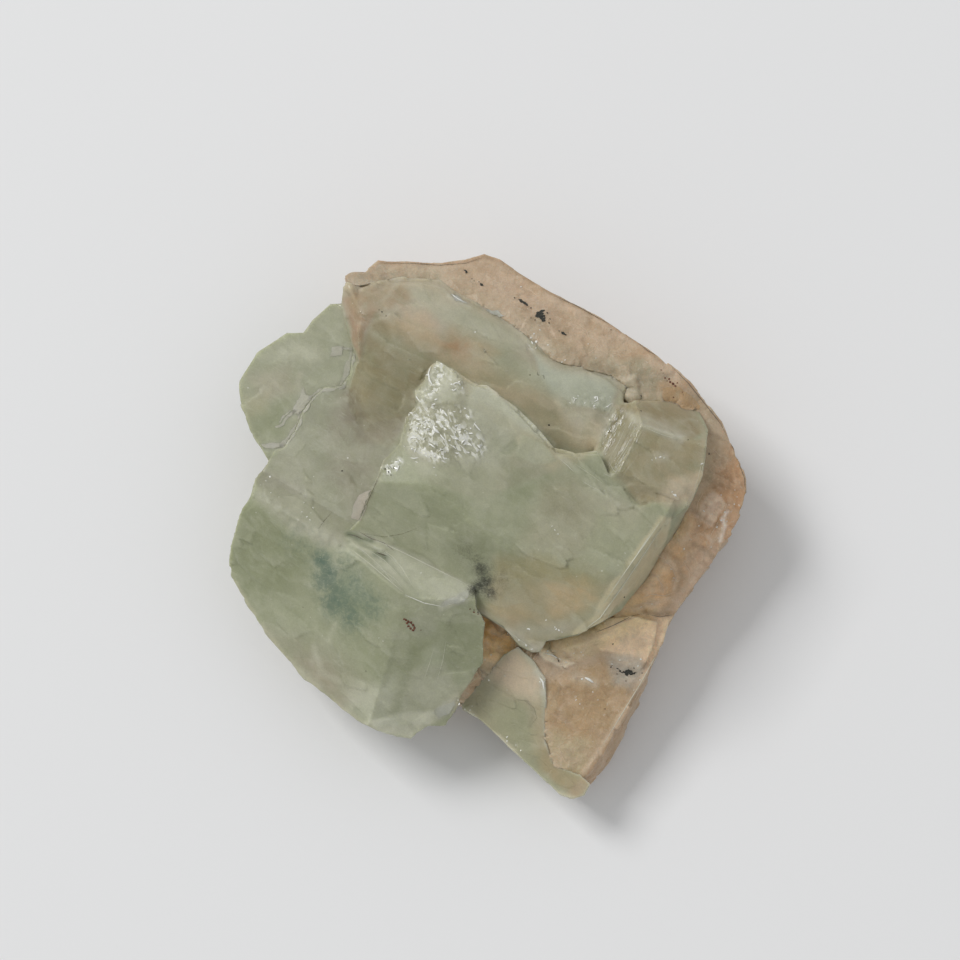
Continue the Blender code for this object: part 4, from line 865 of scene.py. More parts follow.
MATRIX_MARKS = {
    # the hollow's floor: its own orange, lightened as painted light against the recess's shade
    "hollow": Wash((1.0, 0.64, 0.27), 1.0, 1.2, [(470, 600), (500, 618), (538, 650), (516, 648), (492, 662),
        (476, 664), (476, 640)]),
    "hollow strip": Wash((0.4, 0.37, 0.24), 0.95, 1.0, [(474, 664), (494, 661), (486, 684), (470, 706),
        (454, 706), (462, 684)]),
    "top left": Wash((0.42, 0.365, 0.265), 0.85, 1.4, [(338, 270), (390, 264), (386, 290), (344, 304)]),
    "top left green": Wash((0.5, 0.44, 0.31), 0.8, 1.6, [(386, 268), (440, 268), (452, 290), (396, 290)]),
    "top glass": Wash((0.64, 0.61, 0.5), 0.7, 1.4, [(529, 322), (540, 318), (547, 330), (541, 346),
        (530, 342)]),
    "top white": Wash((0.36, 0.31, 0.205), 0.6, 2.0, [(530, 334), (552, 336), (566, 352), (548, 356),
        (532, 346)]),
    "ledge end": Wash((0.26, 0.215, 0.15), 0.8, 0.8, [(338, 272), (352, 272), (352, 288), (341, 292)]),
    # pale stroke where the ledge's slit is in shadow: painted light
    "ledge foot": Stroke((0.8, 0.66, 0.46), 0.9, 0.9, [(350, 289), (364, 288), (378, 284)]),
    "top shade": Wash((0.34, 0.245, 0.15), 0.75, 2.4, [(510, 296), (540, 300), (576, 318), (570, 340),
        (534, 336), (512, 312)]),
    "top shade 2": Wash((0.37, 0.31, 0.2), 0.7, 4.0, [(560, 344), (600, 350), (660, 372), (668, 400),
        (620, 396), (570, 364)]),
    "right wall": Wash((0.6, 0.315, 0.135), 0.68, 3.0, [(706, 440), (744, 456), (750, 492), (736, 530),
        (700, 560), (696, 530), (700, 510), (696, 470)]),
    "right orange": Wash((0.66, 0.42, 0.235), 0.85, 2.2, [(690, 514), (712, 524), (722, 540), (700, 552),
        (686, 540)]),
    "right pale facet": Wash((0.82, 0.64, 0.48), 0.8, 0.4, [(695, 517), (699, 511), (704, 498), (712, 492),
        (720, 496), (726, 503), (721, 514), (714, 526), (704, 520)]),
    "right dark heart": Wash((0.4, 0.235, 0.115), 0.55, 1.2, [(708, 470), (720, 474), (731, 480), (732, 490),
        (722, 494), (708, 490), (704, 480)]),
    "right dark corner": Wash((0.4, 0.22, 0.095), 0.65, 0.8, [(690, 513), (697, 518), (706, 523), (713, 528),
        (704, 533), (692, 529)]),
    "right upper facet": Wash((0.56, 0.42, 0.28), 0.55, 0.8, [(712, 449), (722, 450), (728, 458), (724, 469),
        (716, 466)]),
    "fold foot": Wash((0.95, 0.68, 0.4), 0.85, 1.8, [(608, 616), (650, 588), (672, 592), (658, 610),
        (620, 626)]),
    "right olive": Wash((0.76, 0.47, 0.225), 0.8, 3.0, [(684, 530), (700, 560), (688, 590), (664, 600),
        (640, 612), (620, 622), (640, 590), (660, 560)]),
    "right pink": Wash((0.56, 0.39, 0.262), 0.75, 2.0, [(690, 550), (722, 545), (706, 580), (690, 606),
        (672, 606), (680, 576)]),
    "green under skin": Wash((0.37, 0.335, 0.225), 0.85, 3.4, [(596, 360), (636, 354), (664, 376),
        (660, 402), (616, 400)]),
    "orange corner": Wash(APRICOT, 0.75, 1.6, [(660, 384), (690, 382), (706, 414), (704, 440), (690, 430),
        (664, 404)]),
    "step shoulder": Wash((0.52, 0.4, 0.26), 0.6, 2.0, [(704, 440), (724, 436), (730, 460), (712, 474)]),
    "step wrap": Wash((0.47, 0.375, 0.24), 0.75, 1.2, [(694, 412), (710, 424), (712, 476), (700, 500),
        (690, 500), (700, 440)]),
    # a pale plate, lightened further as painted light where its slope lies in shade
    "plate": Wash((0.98, 0.74, 0.49), 0.9, 0.8, [(586, 642), (606, 630), (636, 616), (674, 617), (668, 638),
        (652, 663), (636, 660), (600, 650)]),
    "front face": Wash((0.43, 0.29, 0.145), 0.8, 2.0, [(548, 680), (600, 660), (636, 690), (600, 758),
        (575, 780), (552, 760), (545, 710)]),
    "front green": Wash((0.5, 0.43, 0.27), 0.7, 2.4, [(548, 730), (590, 740), (586, 776), (560, 776),
        (548, 750)]),
    # the side wall's darker band: partly painted shade on the side turned from the window
    "front side": Wash((0.42, 0.275, 0.15), 0.85, 0.7, [(656, 660), (670, 640), (646, 706), (604, 772),
        (582, 798), (568, 796), (600, 752), (642, 688)]),
    "pink top": Wash((0.56, 0.42, 0.295), 0.7, 4.0, [(484, 262), (540, 290), (560, 320), (520, 306),
        (478, 292)]),
    "grey halo": Wash((0.43, 0.4, 0.33), 0.8, 1.6, [(608, 660), (640, 656), (646, 678), (632, 688),
        (612, 684)]),
    "halo white": Wash(CREAM, 0.6, 0.9, [(610, 656), (630, 654), (640, 662), (640, 668), (624, 666)]),
    "pink grains": Wash(PALE_PEACH, 0.6, 1.2, [(458, 702), (474, 704), (478, 716), (464, 716)]),
    # a pale step, brightened as painted light where the block's tip shades it
    "light step": Wash((1.0, 0.9, 0.68), 0.95, 0.5, [(538, 653), (548, 650), (560, 654), (566, 657),
        (572, 662), (566, 668), (556, 664), (546, 662)], 0.3),
    "step crumb": Wash((0.86, 0.68, 0.44), 0.7, 0.6, [(566, 650), (580, 646), (588, 652), (576, 658)], 0.2),
    "gap rock": Wash((0.36, 0.34, 0.24), 0.95, 0.8, [(612, 378), (636, 376), (642, 402), (616, 408)], 0.6),
    "corner seam": Stroke((0.47, 0.375, 0.235), 0.8, 1.8, [(547, 694), (546, 720), (547, 746)], 0.3),
    # raised fillet at the block's foot, painted pale: painted light over its contact shadow
    "foot fillet": Stroke((0.82, 0.62, 0.37), 0.9, 2.8, [(556, 646), (575, 638), (600, 628), (625, 602),
        (646, 582), (666, 548), (682, 522)], 1.5),
    # painted light over the shadow in the groove at the block's foot
    "painted light over the groove": Stroke((1.0, 0.78, 0.42), 0.92, 3.4, [(570, 644), (596, 636), (614, 628), (640, 616)]),
    # near-white streaks on the right wall: painted highlights
    "right streak": Stroke((1.0, 0.92, 0.82), 0.85, 0.6, [(727, 512), (723, 519), (725, 526), (722, 534),
        (720, 541)], 0.1),
    "right streak 2": Stroke((0.8, 0.68, 0.54), 0.65, 0.5, [(707, 536), (712, 542)], 0.08),
    "gap rise": Stroke((0.42, 0.38, 0.275), 0.9, 1.5, [(617, 383), (624, 390), (629, 399), (641, 400)], 0.6),
    "upper shade": Wash((0.45, 0.33, 0.205), 0.4, 4.0, [(534, 318), (566, 326), (584, 342), (560, 346),
        (540, 334)]),
    "foot beige": Wash((0.62, 0.5, 0.3), 0.8, 2.0, [(536, 648), (570, 638), (596, 632), (606, 642),
        (590, 656), (560, 660)]),
    "groove": Stroke(BROWN, 0.25, 0.7, [(580, 640), (596, 634), (614, 626), (634, 615), (648, 612)], -0.15),
    "groove end": Stroke(BROWN, 0.6, 0.7, [(644, 612), (660, 615), (682, 612)], -0.15),
    # pale raised strokes on lips, folds and edges: partly painted highlights
    "lip 1": Stroke(PALE_PEACH, 0.65, 0.9, [(633, 611), (646, 605), (658, 602)], 0.3),
    "fold 1": Stroke(PALE_PEACH, 0.6, 0.8, [(662, 553), (672, 564), (677, 576), (674, 588)], 0.35),
    "fold shade": Stroke(BROWN, 0.55, 0.8, [(668, 552), (679, 564), (682, 578), (677, 592)], -0.15),
    "fold 2": Stroke(PALE_PEACH, 0.4, 0.8, [(648, 572), (660, 580), (662, 590)], 0.2),
    "fold 3": Stroke(PALE_PEACH, 0.5, 0.9, [(664, 600), (682, 592), (694, 580)], 0.25),
    "crack 1": Stroke(BROWN, 0.7, 0.7, [(694, 544), (704, 550), (713, 557)], -0.2),
    "crack 2": Stroke(BROWN, 0.6, 0.7, [(696, 512), (706, 521), (718, 526)], -0.2),
    "rim dark": Stroke(BROWN, 0.75, 0.55, RIM),
    "rim light": Stroke(PALE_PEACH, 0.45, 0.9, [(548, 297), (600, 322), (640, 350), (684, 388), (718, 430)]),
    "right edge": Stroke(PALE_PEACH, 0.6, 1.0, [(720, 530), (700, 566), (676, 604)]),
    "side edge": Stroke((0.68, 0.54, 0.38), 0.85, 0.7, [(664, 640), (640, 684), (604, 744), (570, 790)],
        0.06),
    # painted light in the hollow
    "painted light in the hollow": Stroke((0.95, 0.72, 0.44), 0.7, 2.0, [(478, 662), (490, 656), (496, 650)]),
    "front glint": Stroke(CREAM, 0.45, 1.4, [(576, 676), (594, 683)], 0.15),
    "top crack": Stroke(BROWN, 0.45, 0.9, [(590, 318), (588, 336), (572, 352)], -0.12),
    "top crack 2": Stroke(BROWN, 0.35, 0.9, [(524, 308), (534, 316), (530, 330)], -0.12),
    "step shade": Stroke(RUST_PEACH, 0.6, 1.4, [(620, 358), (640, 352), (652, 352)]),
    "step line": Stroke(BROWN, 0.55, 0.6, [(700, 432), (712, 434), (724, 440)], -0.1),
}
MATRIX_MELTS = [
    (8, Wash(None, 1.0, 1.0, [(610, 376), (640, 376), (646, 404), (616, 408)])),
    (16, Stroke(None, 1.0, 2.6, [(570, 650), (590, 676), (606, 706), (640, 690)])),
    (14, Wash(None, 0.8, 1.4, [(384, 262), (452, 266), (520, 304), (620, 344), (700, 400), (704, 440),
        (660, 410), (600, 376), (530, 342), (440, 290), (386, 290)])),
]
CORNER_MARKS = {
    "body": Wash((0.41, 0.385, 0.25), 0.9, 2.0, [(459, 700), (518, 645), (546, 676), (546, 740), (560, 780),
        (500, 744)]),
    "pink top": Wash((0.74, 0.6, 0.44), 0.75, 3.0, [(484, 672), (515, 645), (546, 676), (540, 704),
        (505, 690)]),
    "green foot": Wash((0.38, 0.38, 0.24), 0.7, 2.6, [(490, 712), (520, 704), (546, 730), (560, 780),
        (510, 744)]),
    "right blend": Wash((0.5, 0.39, 0.235), 0.75, 3.2, [(532, 706), (552, 700), (562, 780), (536, 752)]),
    "olive tip": Wash((0.47, 0.375, 0.22), 0.85, 2.0, [(548, 740), (566, 768), (592, 780), (576, 800),
        (540, 772)]),
    "tip band": Wash((0.52, 0.42, 0.285), 0.7, 1.0, [(566, 794), (584, 776), (592, 788), (574, 800)]),
    # pale strokes along the edges and crest: partly painted highlights
    "right edge": Stroke(CREAM, 0.8, 0.9, [(536, 672), (542, 680), (543, 692)], 0.1),
    "right edge low": Stroke(MILK, 0.45, 0.7, [(544, 692), (545, 720), (546, 744)]),
    "left edge": Stroke((0.66, 0.61, 0.46), 0.75, 0.7, [(470, 712), (500, 738), (530, 767), (558, 793),
        (574, 798)]),
    "crest": Stroke(MILK, 0.4, 0.8, [(515, 646), (530, 660), (540, 674)]),
    "hair": Stroke(GRIME, 0.3, 0.5, [(526, 700), (534, 712), (530, 726)]),
}

# ---- small grains: (across, down, size in millimetres) ----
SOOT_GRAINS = [(537, 313, 0.4), (547, 313, 0.36), (535, 320, 0.3), (549, 323, 0.32), (550, 319, 0.24),
    (531, 318, 0.22), (566, 335, 0.26), (559, 331, 0.24), (472, 279, 0.22), (474, 281, 0.22),
    (479, 282, 0.24), (514.5, 298, 0.32), (531, 308, 0.28), (612, 665, 0.24), (611, 667, 0.3),
    (642, 673, 0.24), (626, 681, 0.24), (634, 668, 0.26), (617, 674, 0.24), (624, 597, 0.3),
    (613, 644, 0.28), (605, 709, 0.22), (641, 396, 0.3), (641, 398, 0.24), (641, 411, 0.25),
    (549, 425, 0.35), (530, 375, 0.25), (709, 454, 0.32), (688, 440, 0.22), (342, 471, 0.3),
    (382, 312, 0.26), (386, 316, 0.22), (379, 310, 0.18), (410, 430, 0.28), (478, 612, 0.32),
    (474, 610, 0.25), (389, 472, 0.4), (394, 468, 0.32), (385, 469, 0.28), (391, 475, 0.26),
    (303, 607, 0.18), (366, 671, 0.18), (611, 330, 0.22)]
RUST_GRAINS = [(670, 382, 0.48), (673, 384, 0.56), (675, 386, 0.46), (669, 379, 0.38), (665, 378, 0.34),
    (667, 381, 0.24), (677, 383, 0.3), (661, 370, 0.24), (682, 392, 0.3), (673, 397, 0.36), (683, 395, 0.28),
    (681, 401, 0.24), (686, 398, 0.24), (663, 373, 0.2), (676, 390, 0.2), (406, 620, 0.5),
    (408.5, 621.5, 0.52), (411, 622.5, 0.55), (413, 625, 0.58), (414.5, 628, 0.56), (413, 630, 0.5),
    (410.5, 628.5, 0.5), (408.5, 626, 0.5), (407, 623, 0.5), (404, 619, 0.34), (421, 630, 0.2),
    (470, 609, 0.3), (474, 612, 0.36), (478, 614, 0.26)]

# small white grains as painted glints, where small faces catch the light, the same way
PAINTED_GLINTS = [(656, 458, 0.26), (660, 457, 0.32), (664, 458, 0.24), (652, 460, 0.2), (737, 497, 0.26),
    (734, 504, 0.3), (731, 512, 0.24), (727, 521, 0.3), (722, 530, 0.24), (739, 505, 0.22), (729, 505, 0.2),
    (718, 538, 0.26), (724, 516, 0.22), (711, 547, 0.24), (735, 490, 0.22), (475, 332, 0.32),
    (270, 477, 0.4), (266, 481, 0.3), (271, 493, 0.3), (279, 497, 0.25), (304, 503, 0.34), (302, 512, 0.28),
    (307, 517, 0.32), (313, 508, 0.36), (310, 520, 0.3), (311, 513, 0.24), (348, 458, 0.28),
    (555, 530, 0.34), (558, 534, 0.3), (552, 526, 0.24), (675, 495, 0.5), (672, 492, 0.3), (556, 629, 0.36),
    (559, 630, 0.44), (529, 629, 0.4), (546, 620, 0.26), (534, 334, 0.45), (536, 342, 0.55), (531, 338, 0.4),
    (540, 330, 0.32), (521, 287, 0.4), (585, 403, 0.28), (595, 398, 0.42), (594, 406, 0.34), (574, 398, 0.4),
    (570, 403, 0.34), (578, 396, 0.28), (608, 407, 0.3), (612, 404, 0.24), (489, 680, 0.34),
    (505, 676, 0.26), (494, 667, 0.22), (507, 690, 0.24), (540, 682, 0.42), (507, 741, 0.28),
    (521, 750, 0.32), (592, 682, 0.32), (582, 679, 0.36), (583, 655, 0.24), (458, 700, 0.3),
    (470, 710, 0.34), (472, 706, 0.26), (596, 358, 0.28), (588, 344, 0.24), (562, 362, 0.3),
    (565, 360, 0.26), (724, 520, 0.34), (722, 528, 0.26), (421, 573, 0.22), (383, 641, 0.2),
    (379, 638, 0.22), (612, 664, 0.28), (620, 660, 0.26), (436, 475, 0.2), (491, 655, 0.24), (485, 660, 0.3),
    (634, 690, 0.22), (661, 457, 0.28), (664, 458, 0.3), (490, 595, 0.18), (690, 406, 0.22), (576, 700, 0.3),
    (580, 704, 0.26), (593, 692, 0.3), (598, 700, 0.24), (574, 653, 0.28), (581, 652, 0.34),
    (548, 651, 0.34), (566, 662, 0.4), (556, 657, 0.36), (664, 559, 0.28), (671, 569, 0.32),
    (674, 578, 0.28), (684, 549, 0.4), (652, 604, 0.28), (641, 607, 0.24), (721, 520, 0.5), (717, 527, 0.44),
    (725, 512, 0.4), (704, 511, 0.34), (712, 514, 0.3), (721, 495, 0.3), (699, 526, 0.3), (641, 659, 0.42),
    (638, 666, 0.32), (640, 680, 0.34), (634, 690, 0.3), (536, 348, 0.4), (548, 345, 0.34), (528, 629, 0.44),
    (555, 627, 0.34), (562, 632, 0.3), (519, 640, 0.4), (526, 645, 0.44), (532, 649, 0.4), (508, 633, 0.32),
    (507, 737, 0.4), (516, 745, 0.3), (459, 704, 0.46), (465, 709, 0.38), (474, 714, 0.34), (248, 388, 0.22),
    (625, 553, 0.2), (602, 571, 0.2), (618, 565, 0.22)]

# ---- groups of hairlines that follow the surface: each a width in millimetres, and a path ----
# pale lines along the crystals' ridges, rims and edges: partly painted highlights
BRIGHT_HAIRS = {
    "cube edges": [(0.101, [(371, 538), (400, 551), (430, 566), (470, 586)]),
        (0.095, [(351, 549), (370, 564), (390, 581), (404, 593)])],
    "lozenge": [(0.061, [(378, 547), (392, 556), (402, 568), (414, 588)]),
        (0.054, [(366, 548), (384, 560), (398, 574)]),
        (0.06, [(352, 543), (366, 553), (380, 566), (396, 586)]),
        (0.05, [(372, 562), (386, 572), (396, 580), (404, 590)]),
        (0.045, [(380, 549), (396, 562), (406, 570)]), (0.1, [(448, 601), (456, 597), (463, 592)])],
    "cube right side": [(0.045, [(434, 648), (430, 662), (424, 680)]),
        (0.04, [(446, 640), (443, 660), (436, 684)])],
    "lozenge end": [(0.081, [(470, 588), (464, 600), (442, 607)])],
    "block rim": [(0.14, [(668, 518), (650, 545), (624, 584), (600, 618), (580, 633)]),
        (0.1, [(662, 519), (642, 548), (618, 582)]),
        (0.08, [(655, 526), (636, 556), (614, 588), (602, 606)])],
    "block streaks": [(0.068, [(560, 459), (568, 466), (574, 472)]),
        (0.061, [(582, 481), (592, 487), (601, 491)]), (0.041, [(572, 462), (590, 474), (606, 486)])],
    "block foot": [(0.081, [(486, 616), (504, 628), (520, 640), (533, 649)])],
    "step crest": [(0.061, [(644, 427), (660, 434), (680, 440)])],
    "step ribs": [(0.041, [(612, 420), (608, 430), (604, 440)]),
        (0.041, [(618, 422), (611, 436), (606, 448)]), (0.047, [(626, 426), (618, 444), (611, 456)]),
        (0.061, [(633, 434), (625, 449), (616, 463)]), (0.054, [(628, 448), (621, 460), (614, 470)]),
        (0.054, [(610, 464), (614, 471), (618, 473)])],
    "step right side": [(0.047, [(707, 444), (705, 460), (700, 476)]),
        (0.041, [(702, 462), (698, 478), (693, 492)])],
    "step foot": [(0.068, [(603, 473), (607, 475), (611, 477)])],
    "corner crystal": [(0.081, [(537, 672), (544, 682), (545, 696)]),
        (0.068, [(490, 731), (520, 758), (552, 788)])],
    "rock's front edge": [(0.081, [(668, 634), (640, 684), (600, 750)])],
}
# brighter and broader ones, painted glints where a frosted face crumples
WHITE_HAIRS = {
    "knob": [(0.217, [(431, 366), (428.5, 373), (429.5, 380), (433, 386)]),
        (0.174, [(440, 362.5), (443, 365.5)]), (0.13, [(452, 386), (455, 383), (459, 383), (461, 386)]),
        (0.13, [(451, 389.5), (454, 390.5), (457, 388)]), (0.195, [(434, 400), (438, 399)]),
        (0.195, [(432, 404.5), (436, 404)]), (0.13, [(415, 395), (418, 399), (421, 403)])],
    "frost, upper left": [(0.239, [(415.5, 419), (421, 420)]),
        (0.13, [(422, 423), (426, 420.5), (431, 420)])],
    "frost, left": [(0.13, [(415, 426), (420, 423.5)]), (0.283, [(426, 429.5), (430, 428.5)]),
        (0.13, [(420, 431.5), (423.5, 431.5)])],
    "frost, middle": [(0.325, [(433, 425), (435, 430), (440, 433.5)]),
        (0.195, [(440, 434), (442, 437), (445, 440)]), (0.153, [(444, 412), (446, 414.5), (447.5, 416.5)]),
        (0.087, [(440, 411), (444, 413)]), (0.239, [(448, 440), (451, 441)]),
        (0.304, [(454, 438), (459, 439.5)]), (0.109, [(449, 444), (454, 447), (457, 450)])],
    "frost, right": [(0.174, [(461, 444), (464, 440.5), (466, 440)]),
        (0.13, [(467, 442), (470, 444), (472, 446.5)]), (0.217, [(470, 427.5), (471.5, 429.5)]),
        (0.153, [(474, 423), (477, 427), (481, 431.5)]), (0.109, [(473, 427), (476, 421)]),
        (0.153, [(466, 433.5), (469, 433)]), (0.153, [(459, 424), (461, 425.5)])],
    "frost, low": [(0.13, [(428, 443), (432, 445.5), (436, 448.5)]), (0.26, [(434, 455.5), (436, 457)]),
        (0.109, [(438, 452), (441, 449.5), (445, 449)]), (0.109, [(441, 460), (444, 462), (447, 462.5)]),
        (0.26, [(411, 449.5), (413, 448.5)]), (0.153, [(414, 453), (416.5, 447)]),
        (0.13, [(410, 457.5), (414, 458.5), (419, 457.5)]), (0.109, [(415, 461), (418, 463)]),
        (0.109, [(423, 441), (425, 436.5)]), (0.109, [(408, 442), (411, 438), (419, 437)])],
    "pit on the left edge": [(0.174, [(387, 464), (388, 466)]), (0.153, [(389.5, 467), (390.5, 469)]),
        (0.174, [(399.5, 464.5), (398, 468), (396.5, 472)])],
    "sparkles on the upper crystal": [(0.13, [(593, 397), (597, 396.5), (598, 400), (594, 402)]),
        (0.109, [(592, 408), (597, 408)]), (0.109, [(573, 403), (575, 399), (578, 398)]),
        (0.087, [(604, 408), (608, 406), (612, 403)])],
    "rock's front face": [(0.26, [(584, 677), (589, 679.5), (594, 683)]),
        (0.12, [(544, 653), (552, 655), (562, 660)])],
    "corner crystal": [(0.23, [(539, 677), (543, 682), (544, 690)])],
    "upper ridge": [(0.12, [(450, 293), (458, 299), (466, 303)])],
    "lozenge end": [(0.075, [(403, 594), (424, 603), (445, 607)]),
        (0.06, [(447, 606), (457, 597), (469, 590)])],
    "step": [(0.217, [(672.5, 493.5), (677, 497)]), (0.13, [(700, 464.5), (704, 463)])],
}
# pale lines on the rock's folds, edges and walls: partly painted highlights
ROCK_HAIRS = {
    "folds": [(0.1, [(655, 554), (664, 559), (672, 567), (676, 577), (673, 588)]),
        (0.07, [(648, 571), (657, 577), (662, 585), (660, 594)]),
        (0.08, [(640, 598), (652, 594), (664, 596), (676, 592)]),
        (0.06, [(632, 606), (646, 603), (655, 604)]), (0.06, [(682, 560), (690, 572), (688, 586)])],
    "plate": [(0.09, [(606, 629), (622, 622), (648, 613)]), (0.07, [(676, 618), (672, 634), (664, 648)])],
    "front face": [(0.1, [(575, 676), (584, 677), (593, 683)]),
        (0.06, [(558, 744), (562, 756), (566, 764)])],
    "right wall": [(0.08, [(722, 514), (716, 526), (708, 540)]),
        (0.06, [(728, 500), (724, 512), (722, 524)]), (0.06, [(704, 492), (698, 502), (696, 514)]),
        (0.05, [(712, 448), (720, 456), (728, 458)])],
    "top": [(0.06, [(600, 340), (594, 350), (584, 356)]), (0.05, [(576, 322), (586, 330), (590, 340)]),
        (0.05, [(520, 286), (530, 290), (540, 298)]), (0.05, [(540, 334), (536, 344), (534, 350)]),
        (0.05, [(610, 352), (622, 356), (634, 356)])],
    "grain": [(0.06, [(458, 704), (466, 712), (474, 718)])],
}
DARK_HAIRS = {
    "rims": [(0.06, [(381, 263.2), (410, 263.2), (440, 265.2), (466, 263.2), (483, 257.4)]),
        (0.085, [(553, 295.2), (576, 305.5), (600, 319), (625, 332.3), (647, 350.2), (667, 361.5),
        (688, 383), (703, 401.5), (720.5, 423.5), (733.5, 449), (744.5, 478), (745.5, 491)])],
    "lozenge": [(0.1, [(347, 534), (356, 536), (364, 540)]), (0.12, [(375, 552), (381, 554), (387, 556)]),
        (0.06, [(358, 531), (370, 538), (384, 543), (396, 552)])],
    "cube": [(0.04, [(317, 531), (324, 521), (332, 512)])],
    "block": [(0.035, [(362, 533), (384, 537), (402, 534), (420, 527)]),
        (0.06, [(382, 470), (371, 494), (361, 517)])],
    "groove": [(0.07, [(594, 633), (612, 626), (632, 616), (646, 613)]),
        (0.075, [(646, 614), (660, 617), (677, 614)])],
    "corner crystal": [(0.03, [(524, 700), (534, 708), (537, 718), (529, 727)])],
}


def chips(points, size, seed):
    """Heights of flat chips, each tilted its own way, about a size across."""
    place = points / size
    cell = np.floor(place)
    nearest = np.full(len(points), 1e9)
    height = np.zeros(len(points))
    for index in range(27):
        other = cell + np.array([index % 3, index // 3 % 3, index // 9]) - 1
        stray = np.stack([scatter(other, seed + axis) for axis in range(3)], axis=1)
        middle = other + 0.5 + CHIP_STRAY * stray
        lean = np.stack([scatter(other, seed + 3 + axis) for axis in range(3)], axis=1)
        offset = place - middle
        distance = np.sum(offset * offset, axis=1)
        closer = distance < nearest
        nearest = np.where(closer, distance, nearest)
        height = np.where(closer, np.sum(offset * lean, axis=1) + CHIP_STEP * lean[:, 0], height)
    return height * size


def cleavage(points):
    """The points in a frame whose first axis runs with the cleavage, drawn in along it."""
    cosine, sine = math.cos(CLEAVAGE_TURN), math.sin(CLEAVAGE_TURN)
    along = points[:, 0] * cosine + points[:, 1] * sine
    across = points[:, 1] * cosine - points[:, 0] * sine
    return np.stack([along, across, points[:, 2]], axis=1) * np.array(CLEAVAGE_DRAW)


def masked(surface, mark, sway=0.0):
    """How strongly a wash or a stroke covers each point."""
    if isinstance(mark, Wash):
        return mark.strength * surface.patch(mark.outline, mark.softness, sway)
    return mark.strength * surface.trail(mark.path, mark.reach)


def draw(surface, marks):
    """Paints marks, in their order, with edges that wander as growth does."""
    for mark in marks.values():
        mask = masked(surface, mark, MARK_SWAY)
        surface.paint(mark.tone, mask)
        if mark.rise:
            surface.lift(mark.rise * mask)


def layer(surface, marks):
    """The strongest of several marks at each point."""
    return np.max([masked(surface, mark) for mark in marks], axis=0)


# ---- the pieces ----
def green_crystals():
    """The six crystals: cleaved faces, frosted patches, ledges, and rock that shows through."""
    piece = fine_copy("green_crystals", CRYSTAL_FILL, GREEN_MELTS)
    surface = Surface(piece.data)
    layers = {name: layer(surface, strokes) for name, strokes in GREEN_LAYERS.items()}
    turn = surface.convexity()
    edge = soft(surface.spread(turn, 4), 0.3, 1.1)
    valley = soft(-surface.spread(turn, 8), 0.12, 0.7)
    # tones: the low sides are deeper, edges are pale, partly as a painted highlight, creases take painted
    # shade, and rock colours what lies against it
    surface.colour[:] = JADE
    low = soft(surface.rest[:, 2], 14.0, 6.0) * soft(surface.facing, 0.25, 0.0)
    surface.paint(DEEP_GREEN, 0.5 * low)
    draw(surface, GREEN_MARKS)
    # pale edges: partly pale broken crystal, partly a painted highlight where edges catch the light
    surface.paint(MILK, 0.3 * edge * soft(clouds(surface.rest, 1.4, 2, 71), -0.5, 0.6))
    # creases painted darker olive: painted shade
    surface.paint(OLIVE, 0.18 * valley)
    surface.paint(BUFF, 0.6 * nearness(surface, ["peach_matrix"], 2.8))

    # relief: gentle waves, cleavage chips, worn edges, the crumpled frost and the step's ribs
    surface.lift(0.06 * clouds(surface.rest, 4.2, 3, 3))
    cleaved = cleavage(surface.rest)
    uneven = soft(clouds(surface.rest, 6.0, 2, 9), -0.5, 0.6)
    wide, small = chips(cleaved, 2.8, 15), chips(cleaved, 1.2, 19)
    # chip tones are painted light and shade: paler where a chip stands up, deeper where it sinks
    surface.paint(PALE_SAGE, 0.16 * soft(wide, 0.2, 1.4) + 0.1 * soft(small, 0.1, 0.6))
    surface.paint(DEEP_GREEN, 0.16 * soft(-wide, 0.2, 1.4) + 0.1 * soft(-small, 0.1, 0.6))
    surface.lift((0.015 + 0.05 * uneven) * wide + 0.03 * uneven * small)
    surface.lift(-0.16 * edge * soft(clouds(surface.rest, 1.3, 2, 5), -0.3, 0.9))
    ripple = 1.0 - np.abs(clouds(surface.rest * np.array([1.0, 1.5, 1.5]), 1.5, 3, 12))
    surface.lift(layers["frost"] * (0.26 * (ripple - 0.72) + 0.22 * chips(surface.rest, 1.1, 17)))
    across, along = surface.rest @ RIB_ACROSS, surface.rest @ RIB_ALONG
    lines = np.stack([across, 0.12 * along, np.zeros(surface.count)], axis=1)
    surface.lift(layers["striae"] * 0.22 * clouds(lines, 0.9, 2, 23))
    for name, values in layers.items():
        surface.keep(name, values)
    surface.keep("edge", edge)
    surface.write()
    return piece


def corner_crystal():
    """The small crystal at the front tip."""
    piece = fine_copy("corner_crystal", CORNER_FILL, [])
    surface = Surface(piece.data)
    edge = soft(surface.spread(surface.convexity(), 4), 0.3, 1.1)
    surface.colour[:] = SAGE
    draw(surface, CORNER_MARKS)
    # pale edges: partly pale broken crystal, partly a painted highlight
    surface.paint(MILK, 0.35 * edge)
    surface.lift(0.05 * clouds(surface.rest, 3.0, 3, 33))
    surface.lift(0.06 * chips(cleavage(surface.rest), 1.8, 37))
    surface.lift(-0.1 * edge * soft(clouds(surface.rest, 1.2, 2, 35), -0.3, 0.9))
    for name in GREEN_LAYERS:
        surface.keep(name, np.zeros(surface.count))
    surface.keep("edge", edge)
    surface.write()
    return piece


def nearness(surface, names, reach):
    """1 where a surface meets other solids, fading to 0 at a reach from them."""
    others = ray_target([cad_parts[name] for name in names])
    distances = [others.find_nearest(point, reach)[3] for point in surface.rest]
    return 1.0 - soft(np.array([reach if far is None else far for far in distances]), 0.0, reach)


